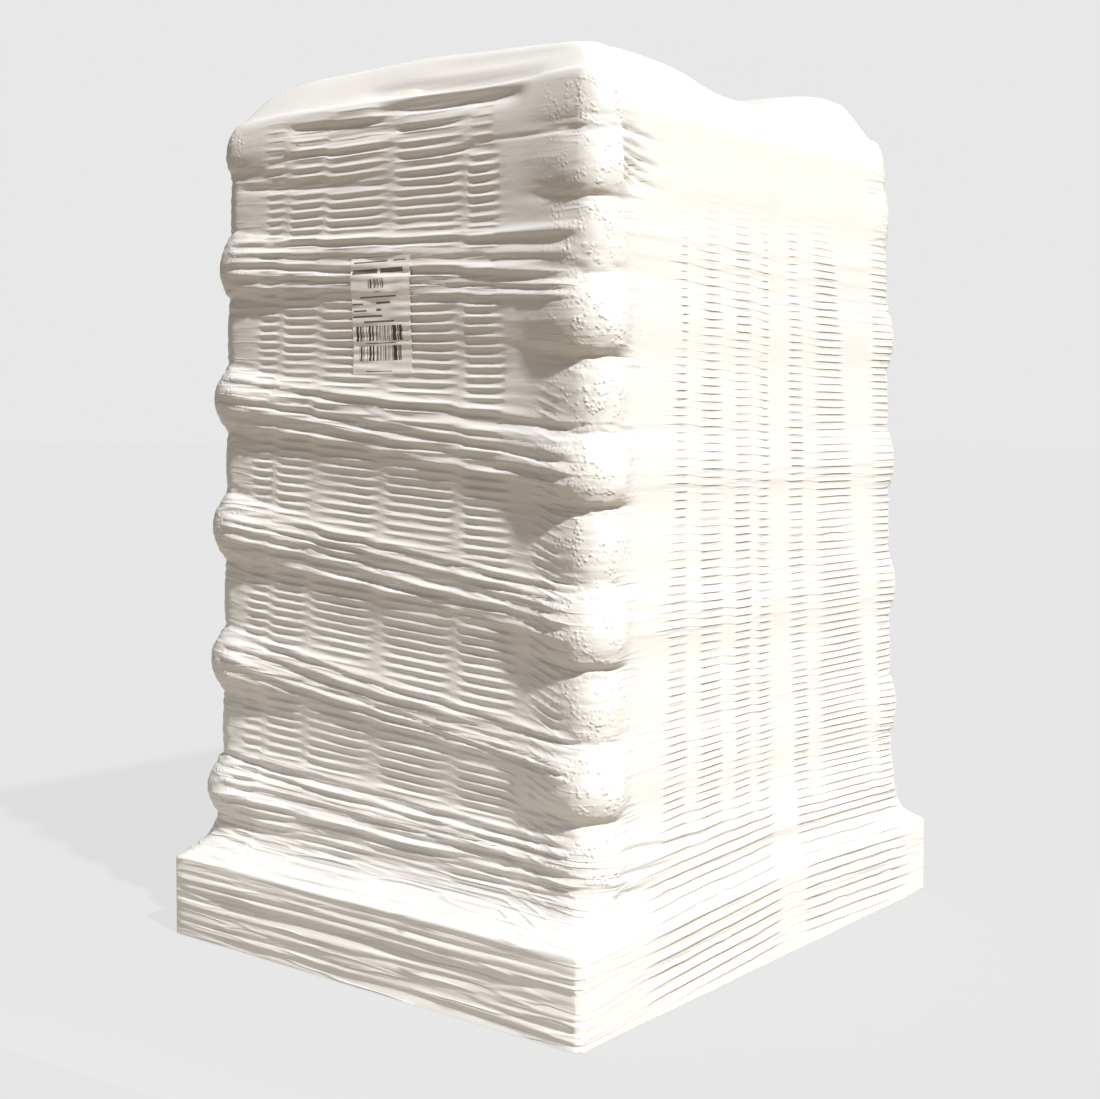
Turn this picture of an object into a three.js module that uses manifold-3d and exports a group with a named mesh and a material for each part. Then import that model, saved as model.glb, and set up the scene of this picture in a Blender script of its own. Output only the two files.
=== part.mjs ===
// A full pallet of filled sacks under a stretched white film hood.
// Millimetres, +Z up. The origin is on the floor under the middle of the pallet.
// -Y is the side that carries the shipping label, and +X is a side with the hood's gusset crease.

import * as THREE from 'three';
import { mergeVertices } from 'three/addons/utils/BufferGeometryUtils.js';
import Module from 'manifold-3d';

const wasm = await Module();
wasm.setup();

// Pallet: a four-way block pallet of three skids, three stringers and a deck
const PALLET_X = 1000;
const PALLET_Y = 1200;
const BOARD_THICKNESS = 22;
const BLOCK_HEIGHT = 78;
const BOARD_WIDTH = 100;
const DECK_BOARD_COUNT = 7;
const BLOCK_LENGTH = 140;
const HOOD_ROOM = 3;

// Sack layers, lowest first: the load presses the lowest ones flat
const LAYER_HEIGHTS = [91, 113, 125, 127, 131, 133, 121, 127, 134, 127, 111, 106];
const SHORT_SHARE = 0.4;
const SEAM_WIDTH = 6;
const SEAM_DEPTH = 30;
const LAYER_INSETS = [20, 0, 0, 20];
const BOTTOM_LAYER_INSETS = [40, 26, 18, 22];
const RING_SHARES = [0, 0.3, 0.7];
const SWELL_POWER = 0.7;
const SWELL_MEAN = 0.7;
const SWELL_SWING = 0.3;

// Film hood
const WALL = 2.4;
const CLEARANCE = 0.45;
const HEM_HEIGHT = 2;
const STACK_INSETS_LOW = [21, 67];
const STACK_INSETS_HIGH = [30, 96];
const STACK_CORNER_RADIUS = 60;
const PALLET_CORNER_RADIUS = 10;
const LEAST_CORNER_RADIUS = 7;
const FACE_BULGE = 7;
const FACE_SWAY = 5;
const CORNER_BULGES = [14, 26, 34, 30];
const CORNER_REACH = 105;
const FLARE_RINGS = [[4, 0], [16, 0.24], [38, 0.67], [68, 0.88]];

// Crown: the top sacks swell upwards under the film, the near one less, and the film dips over the gaps
// between them, most towards the edges
const SHOULDER_RINGS = [[-40, 5], [-16, 16], [0, 34]];
const CROWN_SCALES = [0.91, 0.7, 0.46, 0.22];
const CROWN_RISE = 78;
const CROWN_SQUARENESS = 9;
const LEFT_SQUARENESS = 6;
const NEAR_SACK_DROP = 18;
const DROP_BLEND = 0.5;
const CROWN_DIP = 52;
const DIP_HALF_WIDTH = 120;
const DIP_PLACE = 30;
const DIP_REACH = 1.4;

// Columns round the hood: stops along each side, and facets in each corner
const SIDE_STOPS = [-0.86, -0.56, -0.27, 0, 0.27, 0.56, 0.86];
const HOOD_CORNER_FACETS = 4;
const SACK_CORNER_FACETS = 2;

// Shipping label on the -Y side
const LABEL_X = -16;
const LABEL_Z = 1194;
const LABEL_WIDTH = 148;
const LABEL_HEIGHT = 210;
const LABEL_THICKNESS = 0.8;
const LABEL_GAP = 0.3;

const STACK_FLOOR = 3 * BOARD_THICKNESS + BLOCK_HEIGHT;
const total = (heights) => heights.reduce((sum, height) => sum + height, 0);
const layerFloors = LAYER_HEIGHTS.map((_, i) => STACK_FLOOR + total(LAYER_HEIGHTS.slice(0, i)));
const STACK_TOP = STACK_FLOOR + total(LAYER_HEIGHTS);
const LAST_LAYER = LAYER_HEIGHTS.length - 1;

// Materials

const material = (color, roughness) => new THREE.MeshStandardMaterial({ color, roughness, metalness: 0 });
const pine = material('#c8a77a', 0.8);
const sackFilm = material('#e9e4da', 0.45);
const hoodFilm = material('#f2efe9', 0.4);
const labelPaper = material('#f7f6f2', 0.6);

// Small helpers

const lerp = (a, b, t) => a + (b - a) * t;
const clamp = (v, low, high) => Math.min(high, Math.max(low, v));
const part = new THREE.Group();

function addMesh(name, geometry, look) {
  const mesh = new THREE.Mesh(geometry, look);
  mesh.name = name;
  part.add(mesh);
  return mesh;
}

function meshFrom(positions, triangles) {
  const geometry = new THREE.BufferGeometry();
  geometry.setAttribute('position', new THREE.Float32BufferAttribute(positions, 3));
  geometry.setIndex(triangles);
  geometry.computeVertexNormals();
  return geometry;
}

function toSolid(geometry) {
  const bare = geometry.clone();
  bare.deleteAttribute('normal');
  bare.deleteAttribute('uv');
  const merged = mergeVertices(bare);
  const vertProperties = new Float32Array(merged.attributes.position.array);
  const triVerts = new Uint32Array(merged.index.array);
  return new wasm.Manifold(new wasm.Mesh({ numProp: 3, vertProperties, triVerts }));
}

function toGeometry(solid) {
  const mesh = solid.getMesh();
  return meshFrom(Array.from(mesh.vertProperties), Array.from(mesh.triVerts));
}

function boxAt(size, centre) {
  return new THREE.BoxGeometry(...size).translate(...centre);
}

// Closed solid from rings of points in order: each ring is a list of [x, y, z], and a tip closes each end.
// The first bands of a hollow solid face inwards. Their quads are split the other way, so that the inner
// and the outer face, and what fills them, have the same facets.

function loft(rings, startTip, endTip, inwardBands = 0) {
  const count = rings[0].length;
  const positions = rings.flat(2);
  const triangles = [];
  for (let r = 0; r + 1 < rings.length; r += 1) {
    for (let j = 0; j < count; j += 1) {
      const a = r * count + j;
      const b = r * count + (j + 1) % count;
      const [c, d] = [a + count, b + count];
      triangles.push(...(r < inwardBands ? [a, b, c, b, d, c] : [a, b, d, a, d, c]));
    }
  }
  const lastRing = (rings.length - 1) * count;
  const startIndex = positions.length / 3;
  positions.push(...startTip, ...endTip);
  for (let j = 0; j < count; j += 1) {
    const next = (j + 1) % count;
    triangles.push(next, j, startIndex, lastRing + j, lastRing + next, startIndex + 1);
  }
  return meshFrom(positions, triangles);
}

// Columns round a rounded rectangle, anticlockwise from the start of the +X side. A column's phase says
// which layers stand out on it: the odd ones where it is 0, on +X, and the even ones where it is -1, on -X.
// The lowest layer is the first, an odd one.

const SIDES = [
  { normal: [1, 0], corner: [1, 1], phases: [0, 0] },
  { normal: [0, 1], corner: [-1, 1], phases: [0, -1] },
  { normal: [-1, 0], corner: [-1, -1], phases: [-1, -1] },
  { normal: [0, -1], corner: [1, -1], phases: [-1, 0] },
];

function makeColumns(cornerFacets) {
  const columns = [];
  SIDES.forEach(({ normal, corner, phases }, k) => {
    for (const stop of SIDE_STOPS) {
      columns.push({ normal, corner: null, stop, side: k, phase: lerp(...phases, (stop + 1) / 2) });
    }
    for (let j = 0; j <= cornerFacets; j += 1) {
      const angle = (k + j / cornerFacets) * Math.PI / 2;
      const direction = [Math.cos(angle), Math.sin(angle)];
      columns.push({ normal: direction, corner, stop: 1, side: k, phase: phases[1] });
    }
  });
  return columns;
}

function outlinePoint({ normal, corner, stop }, halfX, halfY, radius, out) {
  const [nx, ny] = normal;
  const reach = Math.max(radius + out, LEAST_CORNER_RADIUS);
  const centreX = halfX + out - reach;
  const centreY = halfY + out - reach;
  if (corner) {
    return [corner[0] * centreX + nx * reach, corner[1] * centreY + ny * reach];
  }
  return [nx * (halfX + out) - ny * stop * centreX, ny * (halfY + out) + nx * stop * centreY];
}

// Swell of the layers at a running layer number, 1 in the middle of an odd layer and 0.4 in an even one

function swell(layer) {
  const wave = Math.sin(Math.PI * layer);
  return Math.abs(wave) ** SWELL_POWER * (SWELL_MEAN + SWELL_SWING * Math.sign(wave));
}

// Half the stack's width and depth, which shrink a little with height

function stackHalves(z) {
  const through = clamp((z - STACK_FLOOR) / (STACK_TOP - STACK_FLOOR), 0, 1);
  return [PALLET_X, PALLET_Y].map((side, axis) => (
    side / 2 - lerp(STACK_INSETS_LOW[axis], STACK_INSETS_HIGH[axis], through)
  ));
}

// How far the hood stands out from its plain outline: most at the corners, less along the faces

function push(column, layer) {
  const along = stackHalves(STACK_FLOOR)[column.side % 2 === 0 ? 1 : 0];
  const flat = along - STACK_CORNER_RADIUS;
  const distance = column.corner ? 0 : (1 - Math.abs(column.stop)) * flat;
  const nearCorner = Math.exp(-((distance / CORNER_REACH) ** 2));
  const corner = column.stop > 0 ? column.side : (column.side + SIDES.length - 1) % SIDES.length;
  const own = swell(layer + column.phase);
  const face = FACE_BULGE * Math.abs(Math.sin(Math.PI * layer)) + FACE_SWAY * own;
  return lerp(face, CORNER_BULGES[corner] * own, nearCorner);
}

function stackPoint(column, z, layer, inward) {
  const [halfX, halfY] = stackHalves(z);
  const out = push(column, layer) - inward;
  return [...outlinePoint(column, halfX, halfY, STACK_CORNER_RADIUS, out), z];
}

// Height of the crown over the stack's top edge. The top layer has three sacks on -X and two on +X, of which
// the one towards -Y lies lower.

function crownRise(x, y) {
  const [halfX, halfY] = stackHalves(STACK_TOP);
  const fall = (v, squareness) => Math.sqrt(Math.max(0, 1 - Math.abs(v) ** squareness));
  const across = fall(x / halfX, x < 0 ? LEFT_SQUARENESS : CROWN_SQUARENESS);
  const seams = x > 0 ? [DIP_PLACE] : [-halfY / 3, halfY / 3];
  const nearEdge = clamp(DIP_REACH * Math.abs(x / halfX), 0, 1);
  const dip = seams.reduce((sum, seam) => sum + Math.exp(-(((y - seam) / DIP_HALF_WIDTH) ** 2)), 0);
  const drop = NEAR_SACK_DROP * clamp(x / halfX, 0, 1) * clamp(0.5 - y / (halfY * DROP_BLEND), 0, 1);
  return across * fall(y / halfY, CROWN_SQUARENESS) * (CROWN_RISE - drop - CROWN_DIP * nearEdge * dip);
}

// Rings of the hood's skin, drawn in by the wall for its inner face and by more for what it covers

function palletRings(columns, inward) {
  const ring = (z, share) => {
    const radius = lerp(PALLET_CORNER_RADIUS, STACK_CORNER_RADIUS, share);
    const [halfX, halfY] = [PALLET_X, PALLET_Y].map((side, axis) => (
      side / 2 + HOOD_ROOM + WALL - share * STACK_INSETS_LOW[axis]
    ));
    return columns.map((c) => [...outlinePoint(c, halfX, halfY, radius, -inward), z]);
  };
  const flare = FLARE_RINGS.map(([rise, share]) => ring(STACK_FLOOR + rise + WALL - inward, share));
  return [ring(HEM_HEIGHT, 0), ...flare];
}

function layerRing(columns, i, share, inward) {
  const z = layerFloors[i] + share * LAYER_HEIGHTS[i];
  return columns.map((c) => stackPoint(c, z, i + share, inward));
}

function crownRings(columns, inward) {
  const lift = WALL - inward;
  const shoulders = SHOULDER_RINGS.map(([drop, inset]) => (
    columns.map((c) => {
      const [x, y, z] = stackPoint(c, STACK_TOP, LAST_LAYER + 0.5, inset + inward);
      return [x, y, z + lift + drop];
    })
  ));
  const crown = CROWN_SCALES.map((scale) => (
    shoulders.at(-1).map(([x, y, z]) => [x * scale, y * scale, z + crownRise(x * scale, y * scale)])
  ));
  return [layerRing(columns, LAST_LAYER, RING_SHARES[1], inward), ...shoulders, ...crown];
}

const crownTip = (inward) => [0, 0, STACK_TOP + WALL - inward + crownRise(0, 0)];

function buildHood() {
  const columns = makeColumns(HOOD_CORNER_FACETS);
  const skin = (inward) => {
    const rings = palletRings(columns, inward);
    for (let i = 1; i < LAST_LAYER; i += 1) {
      rings.push(...RING_SHARES.map((share) => layerRing(columns, i, share, inward)));
    }
    return [...rings, layerRing(columns, LAST_LAYER, 0, inward), ...crownRings(columns, inward)];
  };
  const inner = skin(WALL).reverse();
  const hood = loft([...inner, ...skin(0)], crownTip(WALL), crownTip(0), inner.length - 1);
  addMesh('film_hood', hood, hoodFilm);
  return hood;
}

// One layer of five sacks: a row of three and a row of two, turned by half a turn from layer to layer.
// The gaps between the sacks are grooves in its top, its underside and its sides.

function seamBars(i) {
  const floor = layerFloors[i];
  const ceiling = floor + LAYER_HEIGHTS[i];
  const turned = i % 2 === 0 ? -1 : 1;
  const [halfX, halfY] = stackHalves(floor);
  const seamX = turned * halfX * (1 - 2 * SHORT_SHARE);
  const topBar = i === LAST_LAYER ? [ceiling + CROWN_RISE, CROWN_RISE * 1.5] : [ceiling, SEAM_DEPTH];
  const levels = [[floor, SEAM_DEPTH], topBar];
  const sideHeight = 2 * LAYER_HEIGHTS[i];
  const bars = levels.map(([z, deep]) => boxAt([SEAM_WIDTH, 4 * halfY, deep], [seamX, 0, z]));
  for (const y of [-halfY, halfY]) {
    bars.push(boxAt([SEAM_WIDTH, 2 * SEAM_DEPTH, sideHeight], [seamX, y, floor]));
  }
  const addCross = (y, edgeX) => {
    const reach = [seamX, edgeX * 2];
    const width = Math.abs(reach[1] - reach[0]);
    const middle = (reach[0] + reach[1]) / 2;
    bars.push(...levels.map(([z, deep]) => boxAt([width, SEAM_WIDTH, deep], [middle, y, z])));
    bars.push(boxAt([2 * SEAM_DEPTH, SEAM_WIDTH, sideHeight], [edgeX, y, floor]));
  };
  addCross(0, turned * halfX);
  addCross(-halfY / 3, -turned * halfX);
  addCross(halfY / 3, -turned * halfX);
  return bars;
}

function buildLayer(i) {
  const isTop = i === LAST_LAYER;
  const columns = makeColumns(isTop ? HOOD_CORNER_FACETS : SACK_CORNER_FACETS);
  const floor = layerFloors[i];
  const inward = WALL + CLEARANCE;
  const insets = i === 0 ? BOTTOM_LAYER_INSETS : LAYER_INSETS;
  const stackRings = [...RING_SHARES, 1].map((share, k) => (
    layerRing(columns, i, share, inward + insets[k])
  ));
  const rings = isTop ? [stackRings[0], ...crownRings(columns, inward)] : stackRings;
  const tip = isTop ? crownTip(inward) : [0, 0, floor + LAYER_HEIGHTS[i]];
  const block = toSolid(loft(rings, [0, 0, floor], tip));
  const grooved = seamBars(i).reduce((solid, bar) => solid.subtract(toSolid(bar)), block);
  addMesh(`sack_layer_${String(i + 1).padStart(2, '0')}`, toGeometry(grooved), sackFilm);
}

// Pallet boards and blocks

function buildPallet() {
  const levels = {
    skid: BOARD_THICKNESS / 2,
    block: BOARD_THICKNESS + BLOCK_HEIGHT / 2,
    stringer: 1.5 * BOARD_THICKNESS + BLOCK_HEIGHT,
    deck: 2.5 * BOARD_THICKNESS + BLOCK_HEIGHT,
  };
  const edgeX = (PALLET_X - BOARD_WIDTH) / 2;
  const edgeY = (PALLET_Y - BLOCK_LENGTH) / 2;
  const board = [BOARD_WIDTH, PALLET_Y, BOARD_THICKNESS];
  const block = [BOARD_WIDTH, BLOCK_LENGTH, BLOCK_HEIGHT];
  const stringer = [PALLET_X, BLOCK_LENGTH, BOARD_THICKNESS];
  const addPiece = (name, size, centre) => {
    addMesh(name, new THREE.BoxGeometry(...size), pine).position.set(...centre);
  };
  [-edgeX, 0, edgeX].forEach((x, column) => {
    addPiece(`pallet_skid_${column + 1}`, board, [x, 0, levels.skid]);
    [-edgeY, 0, edgeY].forEach((y, row) => {
      addPiece(`pallet_block_${column * 3 + row + 1}`, block, [x, y, levels.block]);
    });
  });
  [-edgeY, 0, edgeY].forEach((y, row) => {
    addPiece(`pallet_stringer_${row + 1}`, stringer, [0, y, levels.stringer]);
  });
  for (let i = 0; i < DECK_BOARD_COUNT; i += 1) {
    const x = lerp(-edgeX, edgeX, i / (DECK_BOARD_COUNT - 1));
    addPiece(`pallet_deck_board_${i + 1}`, board, [x, 0, levels.deck]);
  }
}

// Label: a thin plate with the same facets as the skin of the hood that it is stuck on

function buildLabel(hood) {
  const skin = (out) => toSolid(hood.clone().translate(0, -out, 0));
  const size = [LABEL_WIDTH, PALLET_Y / 2, LABEL_HEIGHT];
  const blank = toSolid(boxAt(size, [LABEL_X, -PALLET_Y / 2, LABEL_Z]));
  const paper = blank.intersect(skin(LABEL_GAP + LABEL_THICKNESS)).subtract(skin(LABEL_GAP));
  addMesh('shipping_label', toGeometry(paper), labelPaper);
}

buildPallet();
LAYER_HEIGHTS.forEach((_, i) => buildLayer(i));
buildLabel(buildHood());

export default part;
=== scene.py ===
"""A full pallet of filled sacks under a stretched white film hood: its looks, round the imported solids.

Metres, +Z up, in the frame of the solids. The -Y side carries the shipping label, and the +X side shows the
hood's gusset crease.
"""

import logging
import math
from dataclasses import dataclass, field
from enum import Enum

import bpy
import numpy as np
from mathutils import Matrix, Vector
from mathutils.bvhtree import BVHTree


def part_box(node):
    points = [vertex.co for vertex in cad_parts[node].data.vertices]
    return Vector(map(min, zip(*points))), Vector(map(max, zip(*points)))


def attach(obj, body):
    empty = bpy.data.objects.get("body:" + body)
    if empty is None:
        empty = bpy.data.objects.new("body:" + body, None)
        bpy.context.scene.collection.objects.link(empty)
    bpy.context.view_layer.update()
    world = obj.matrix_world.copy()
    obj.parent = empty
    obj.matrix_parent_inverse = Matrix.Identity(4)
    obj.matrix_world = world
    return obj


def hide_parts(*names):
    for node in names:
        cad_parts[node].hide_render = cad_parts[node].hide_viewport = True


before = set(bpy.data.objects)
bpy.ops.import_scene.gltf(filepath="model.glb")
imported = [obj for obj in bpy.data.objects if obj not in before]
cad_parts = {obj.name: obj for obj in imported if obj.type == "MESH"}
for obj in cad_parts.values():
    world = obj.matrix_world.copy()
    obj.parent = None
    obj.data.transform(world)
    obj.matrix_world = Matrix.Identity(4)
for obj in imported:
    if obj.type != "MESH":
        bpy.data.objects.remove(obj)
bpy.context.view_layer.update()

PHOTO_WIDTH = 1100
PHOTO_HEIGHT = 1099
LAYER_COUNT = 12
TOP_LAYER = 0.106
LOG = logging.getLogger("pallet_of_sacks")

MATH = "ShaderNodeMath"
VECTOR_MATH = "ShaderNodeVectorMath"
RANGE = "ShaderNodeMapRange"
MIX = "ShaderNodeMix"
NOISE = "ShaderNodeTexNoise"
CELLS = "ShaderNodeTexVoronoi"
MAPPING = "ShaderNodeMapping"
ATTRIBUTE = "ShaderNodeAttribute"
BUMP = "ShaderNodeBump"
NAMED_ATTRIBUTE = "GeometryNodeInputNamedAttribute"

Array = np.ndarray
Band = tuple[float, float]
Three = tuple[float, float, float]
Four = tuple[float, float, float, float]
Tree = bpy.types.NodeTree
Node = bpy.types.Node
Socket = bpy.types.NodeSocket
Material = bpy.types.Material
Piece = bpy.types.Object


class Side(Enum):
    """The four sides of the load, in the order in which the film's columns run round it."""

    RIGHT = 0
    BACK = 1
    LEFT = 2
    FRONT = 3


class Grain(Enum):
    """Which way the wood grain of a board runs."""

    ALONG_X = 0
    ALONG_Y = 1


# Small helpers


def linear(colour: str) -> Four:
    """Turns an sRGB hex colour into linear light.

    Args:
        colour: six hex digits, such as "f2efe9".

    Returns:
        Red, green, blue and an alpha of 1.
    """
    parts = [int(colour[i : i + 2], 16) / 255 for i in (0, 2, 4)]
    red, green, blue = (c / 12.92 if c <= 0.04045 else ((c + 0.055) / 1.055) ** 2.4 for c in parts)
    return red, green, blue, 1.0


def set_inputs(tree: Tree, node: Node, inputs: dict) -> None:
    """Gives a node its values and links.

    Args:
        tree: the node tree that holds the node.
        node: the node.
        inputs: socket name or number to a value, to an output socket, or to a node whose first output
            is meant.
    """
    for name, value in inputs.items():
        source = value.outputs[0] if isinstance(value, Node) else value
        if isinstance(source, Socket):
            tree.links.new(source, node.inputs[name])
        else:
            node.inputs[name].default_value = source


def add_node(tree: Tree, kind: str, inputs: dict | None = None, **settings: object) -> Node:
    """Adds a node with its settings, values and links.

    Args:
        tree: the node tree that takes the node.
        kind: the node's type, such as "ShaderNodeMath".
        inputs: its values and links, as set_inputs takes them.
        settings: the node's own properties.

    Returns:
        The new node.
    """
    node = tree.nodes.new(kind)
    for name, value in settings.items():
        setattr(node, name, value)
    set_inputs(tree, node, inputs or {})
    return node


def start_material(name: str) -> tuple[Material, Tree, Node]:
    """Makes a material that has nodes.

    Args:
        name: what the real material is.

    Returns:
        The material, its node tree and its main shader.
    """
    made = bpy.data.materials.new(name)
    made.use_nodes = True
    return made, made.node_tree, made.node_tree.nodes["Principled BSDF"]


def object_place(tree: Tree) -> Socket:
    """Gives a material's Object coordinates."""
    return add_node(tree, "ShaderNodeTexCoord").outputs["Object"]


def smooth_step(low: float | Array, high: float | Array, value: Array) -> Array:
    """Goes smoothly from 0 at low to 1 at high."""
    t = np.clip((value - low) / (high - low), 0, 1)
    return t * t * (3 - 2 * t)


def window(value: Array, band: Band, soft: float) -> Array:
    """Is 1 inside a band and 0 outside it, with soft edges of that width."""
    start, end = band
    return smooth_step(start, start + soft, value) * (1 - smooth_step(end - soft, end, value))


def hill(distance: Array, width: float | Array) -> Array:
    """Falls smoothly from 1 at no distance towards 0 beyond a width."""
    return np.exp(-((distance / width) ** 2))


@dataclass(frozen=True)
class Waver:
    """Smooth random waves from about -1 to 1, the same each run.

    Attributes:
        seed: picks the waves.
        length: of a wave in the first direction, and pitch in the second.
        period: waves after which they repeat, both ways.
    """

    seed: int
    length: float = 1.0
    pitch: float = 1.0
    period: int = 256

    def at(self, along: Array, across: Array | float, turned: Array | float = 0.0) -> Array:
        """Reads gradient noise.

        Args:
            along: place in the first direction.
            across: place in the second direction.
            turned: number of waves by which the first direction is shifted.

        Returns:
            The height of the waves there.
        """
        u, v = np.broadcast_arrays(along / self.length + turned, across / self.pitch)
        angle = np.random.default_rng(self.seed).uniform(0, 2 * np.pi, (self.period, self.period))
        iu, iv = np.floor(u).astype(int), np.floor(v).astype(int)
        fu, fv = u - iu, v - iv
        fade_u, fade_v = (f**3 * (f * (f * 6 - 15) + 10) for f in (fu, fv))

        def corner(du: int, dv: int) -> Array:
            """Height that one lattice point's slope gives."""
            turn = angle[(iu + du) % self.period, (iv + dv) % self.period]
            return np.cos(turn) * (fu - du) + np.sin(turn) * (fv - dv)

        low = corner(0, 0) * (1 - fade_u) + corner(1, 0) * fade_u
        high = corner(0, 1) * (1 - fade_u) + corner(1, 1) * fade_u
        return 1.5 * (low * (1 - fade_v) + high * fade_v)


@dataclass(frozen=True)
class Ridges:
    """Thin ridges, which stand where smooth waves cross their middle.

    Attributes:
        waves: the waves.
        breadth: height of the waves at which a ridge ends.
        hollow: 1 for straight flanks, more for hollow ones.
    """

    waves: Waver
    breadth: float
    hollow: float

    def at(self, along: Array, across: Array, turned: Array) -> Array:
        """Goes from 0 beside the ridges to 1 on their crests."""
        return np.clip(1 - np.abs(self.waves.at(along, across, turned)) / self.breadth, 0, 1) ** self.hollow


def mesh_piece(name: str, points: Array, faces: list, finish: Material) -> Piece:
    """Makes a smooth-shaded object at the origin from points and faces.

    Args:
        name: the piece's name.
        points: its corners, in metres in the part's frame.
        faces: lists of corner numbers.
        finish: its material.

    Returns:
        The object, linked to the scene.
    """
    mesh = bpy.data.meshes.new(name)
    mesh.from_pydata(points.reshape(-1, 3).tolist(), [], faces)
    mesh.materials.append(finish)
    mesh.polygons.foreach_set("use_smooth", np.ones(len(mesh.polygons), bool))
    piece = bpy.data.objects.new(name, mesh)
    bpy.context.scene.collection.objects.link(piece)
    return piece


def points_of(piece: Piece) -> Array:
    """Reads a piece's points."""
    return np.array([v.co for v in piece.data.vertices])


def move_points(piece: Piece, points: Array) -> None:
    """Puts a piece's points at new places."""
    piece.data.vertices.foreach_set("co", points.astype(np.float32).ravel())
    piece.data.update()


def set_attribute(piece: Piece, name: str, values: Array) -> None:
    """Stores one number for each point of a piece, for its nodes or its material."""
    layer = piece.data.attributes.new(name, "FLOAT", "POINT")
    layer.data.foreach_set("value", values.astype(np.float32).ravel())


def settle(piece: Piece) -> Piece:
    """Turns a piece with modifiers into a plain mesh.

    Args:
        piece: the object, whose modifiers are all shown.

    Returns:
        The same object with the result as its mesh and no modifiers.
    """
    depsgraph = bpy.context.evaluated_depsgraph_get()
    result = bpy.data.meshes.new_from_object(piece.evaluated_get(depsgraph), depsgraph=depsgraph)
    piece.modifiers.clear()
    piece.data = result
    result.name = piece.name
    return piece


def hand_over(piece: Piece, slot: str, *nodes: str) -> Piece:
    """Lets a finished piece ride on the load, and puts it in place of its solids.

    Args:
        piece: the finished piece.
        slot: name of its finish's slot, which is not used.
        nodes: the solids that it replaces.

    Returns:
        The same piece.
    """
    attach(piece, "root")
    if nodes:
        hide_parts(*nodes)
    LOG.info("%s: %d faces", piece.name, len(piece.data.polygons))
    return piece


# Finishes


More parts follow.
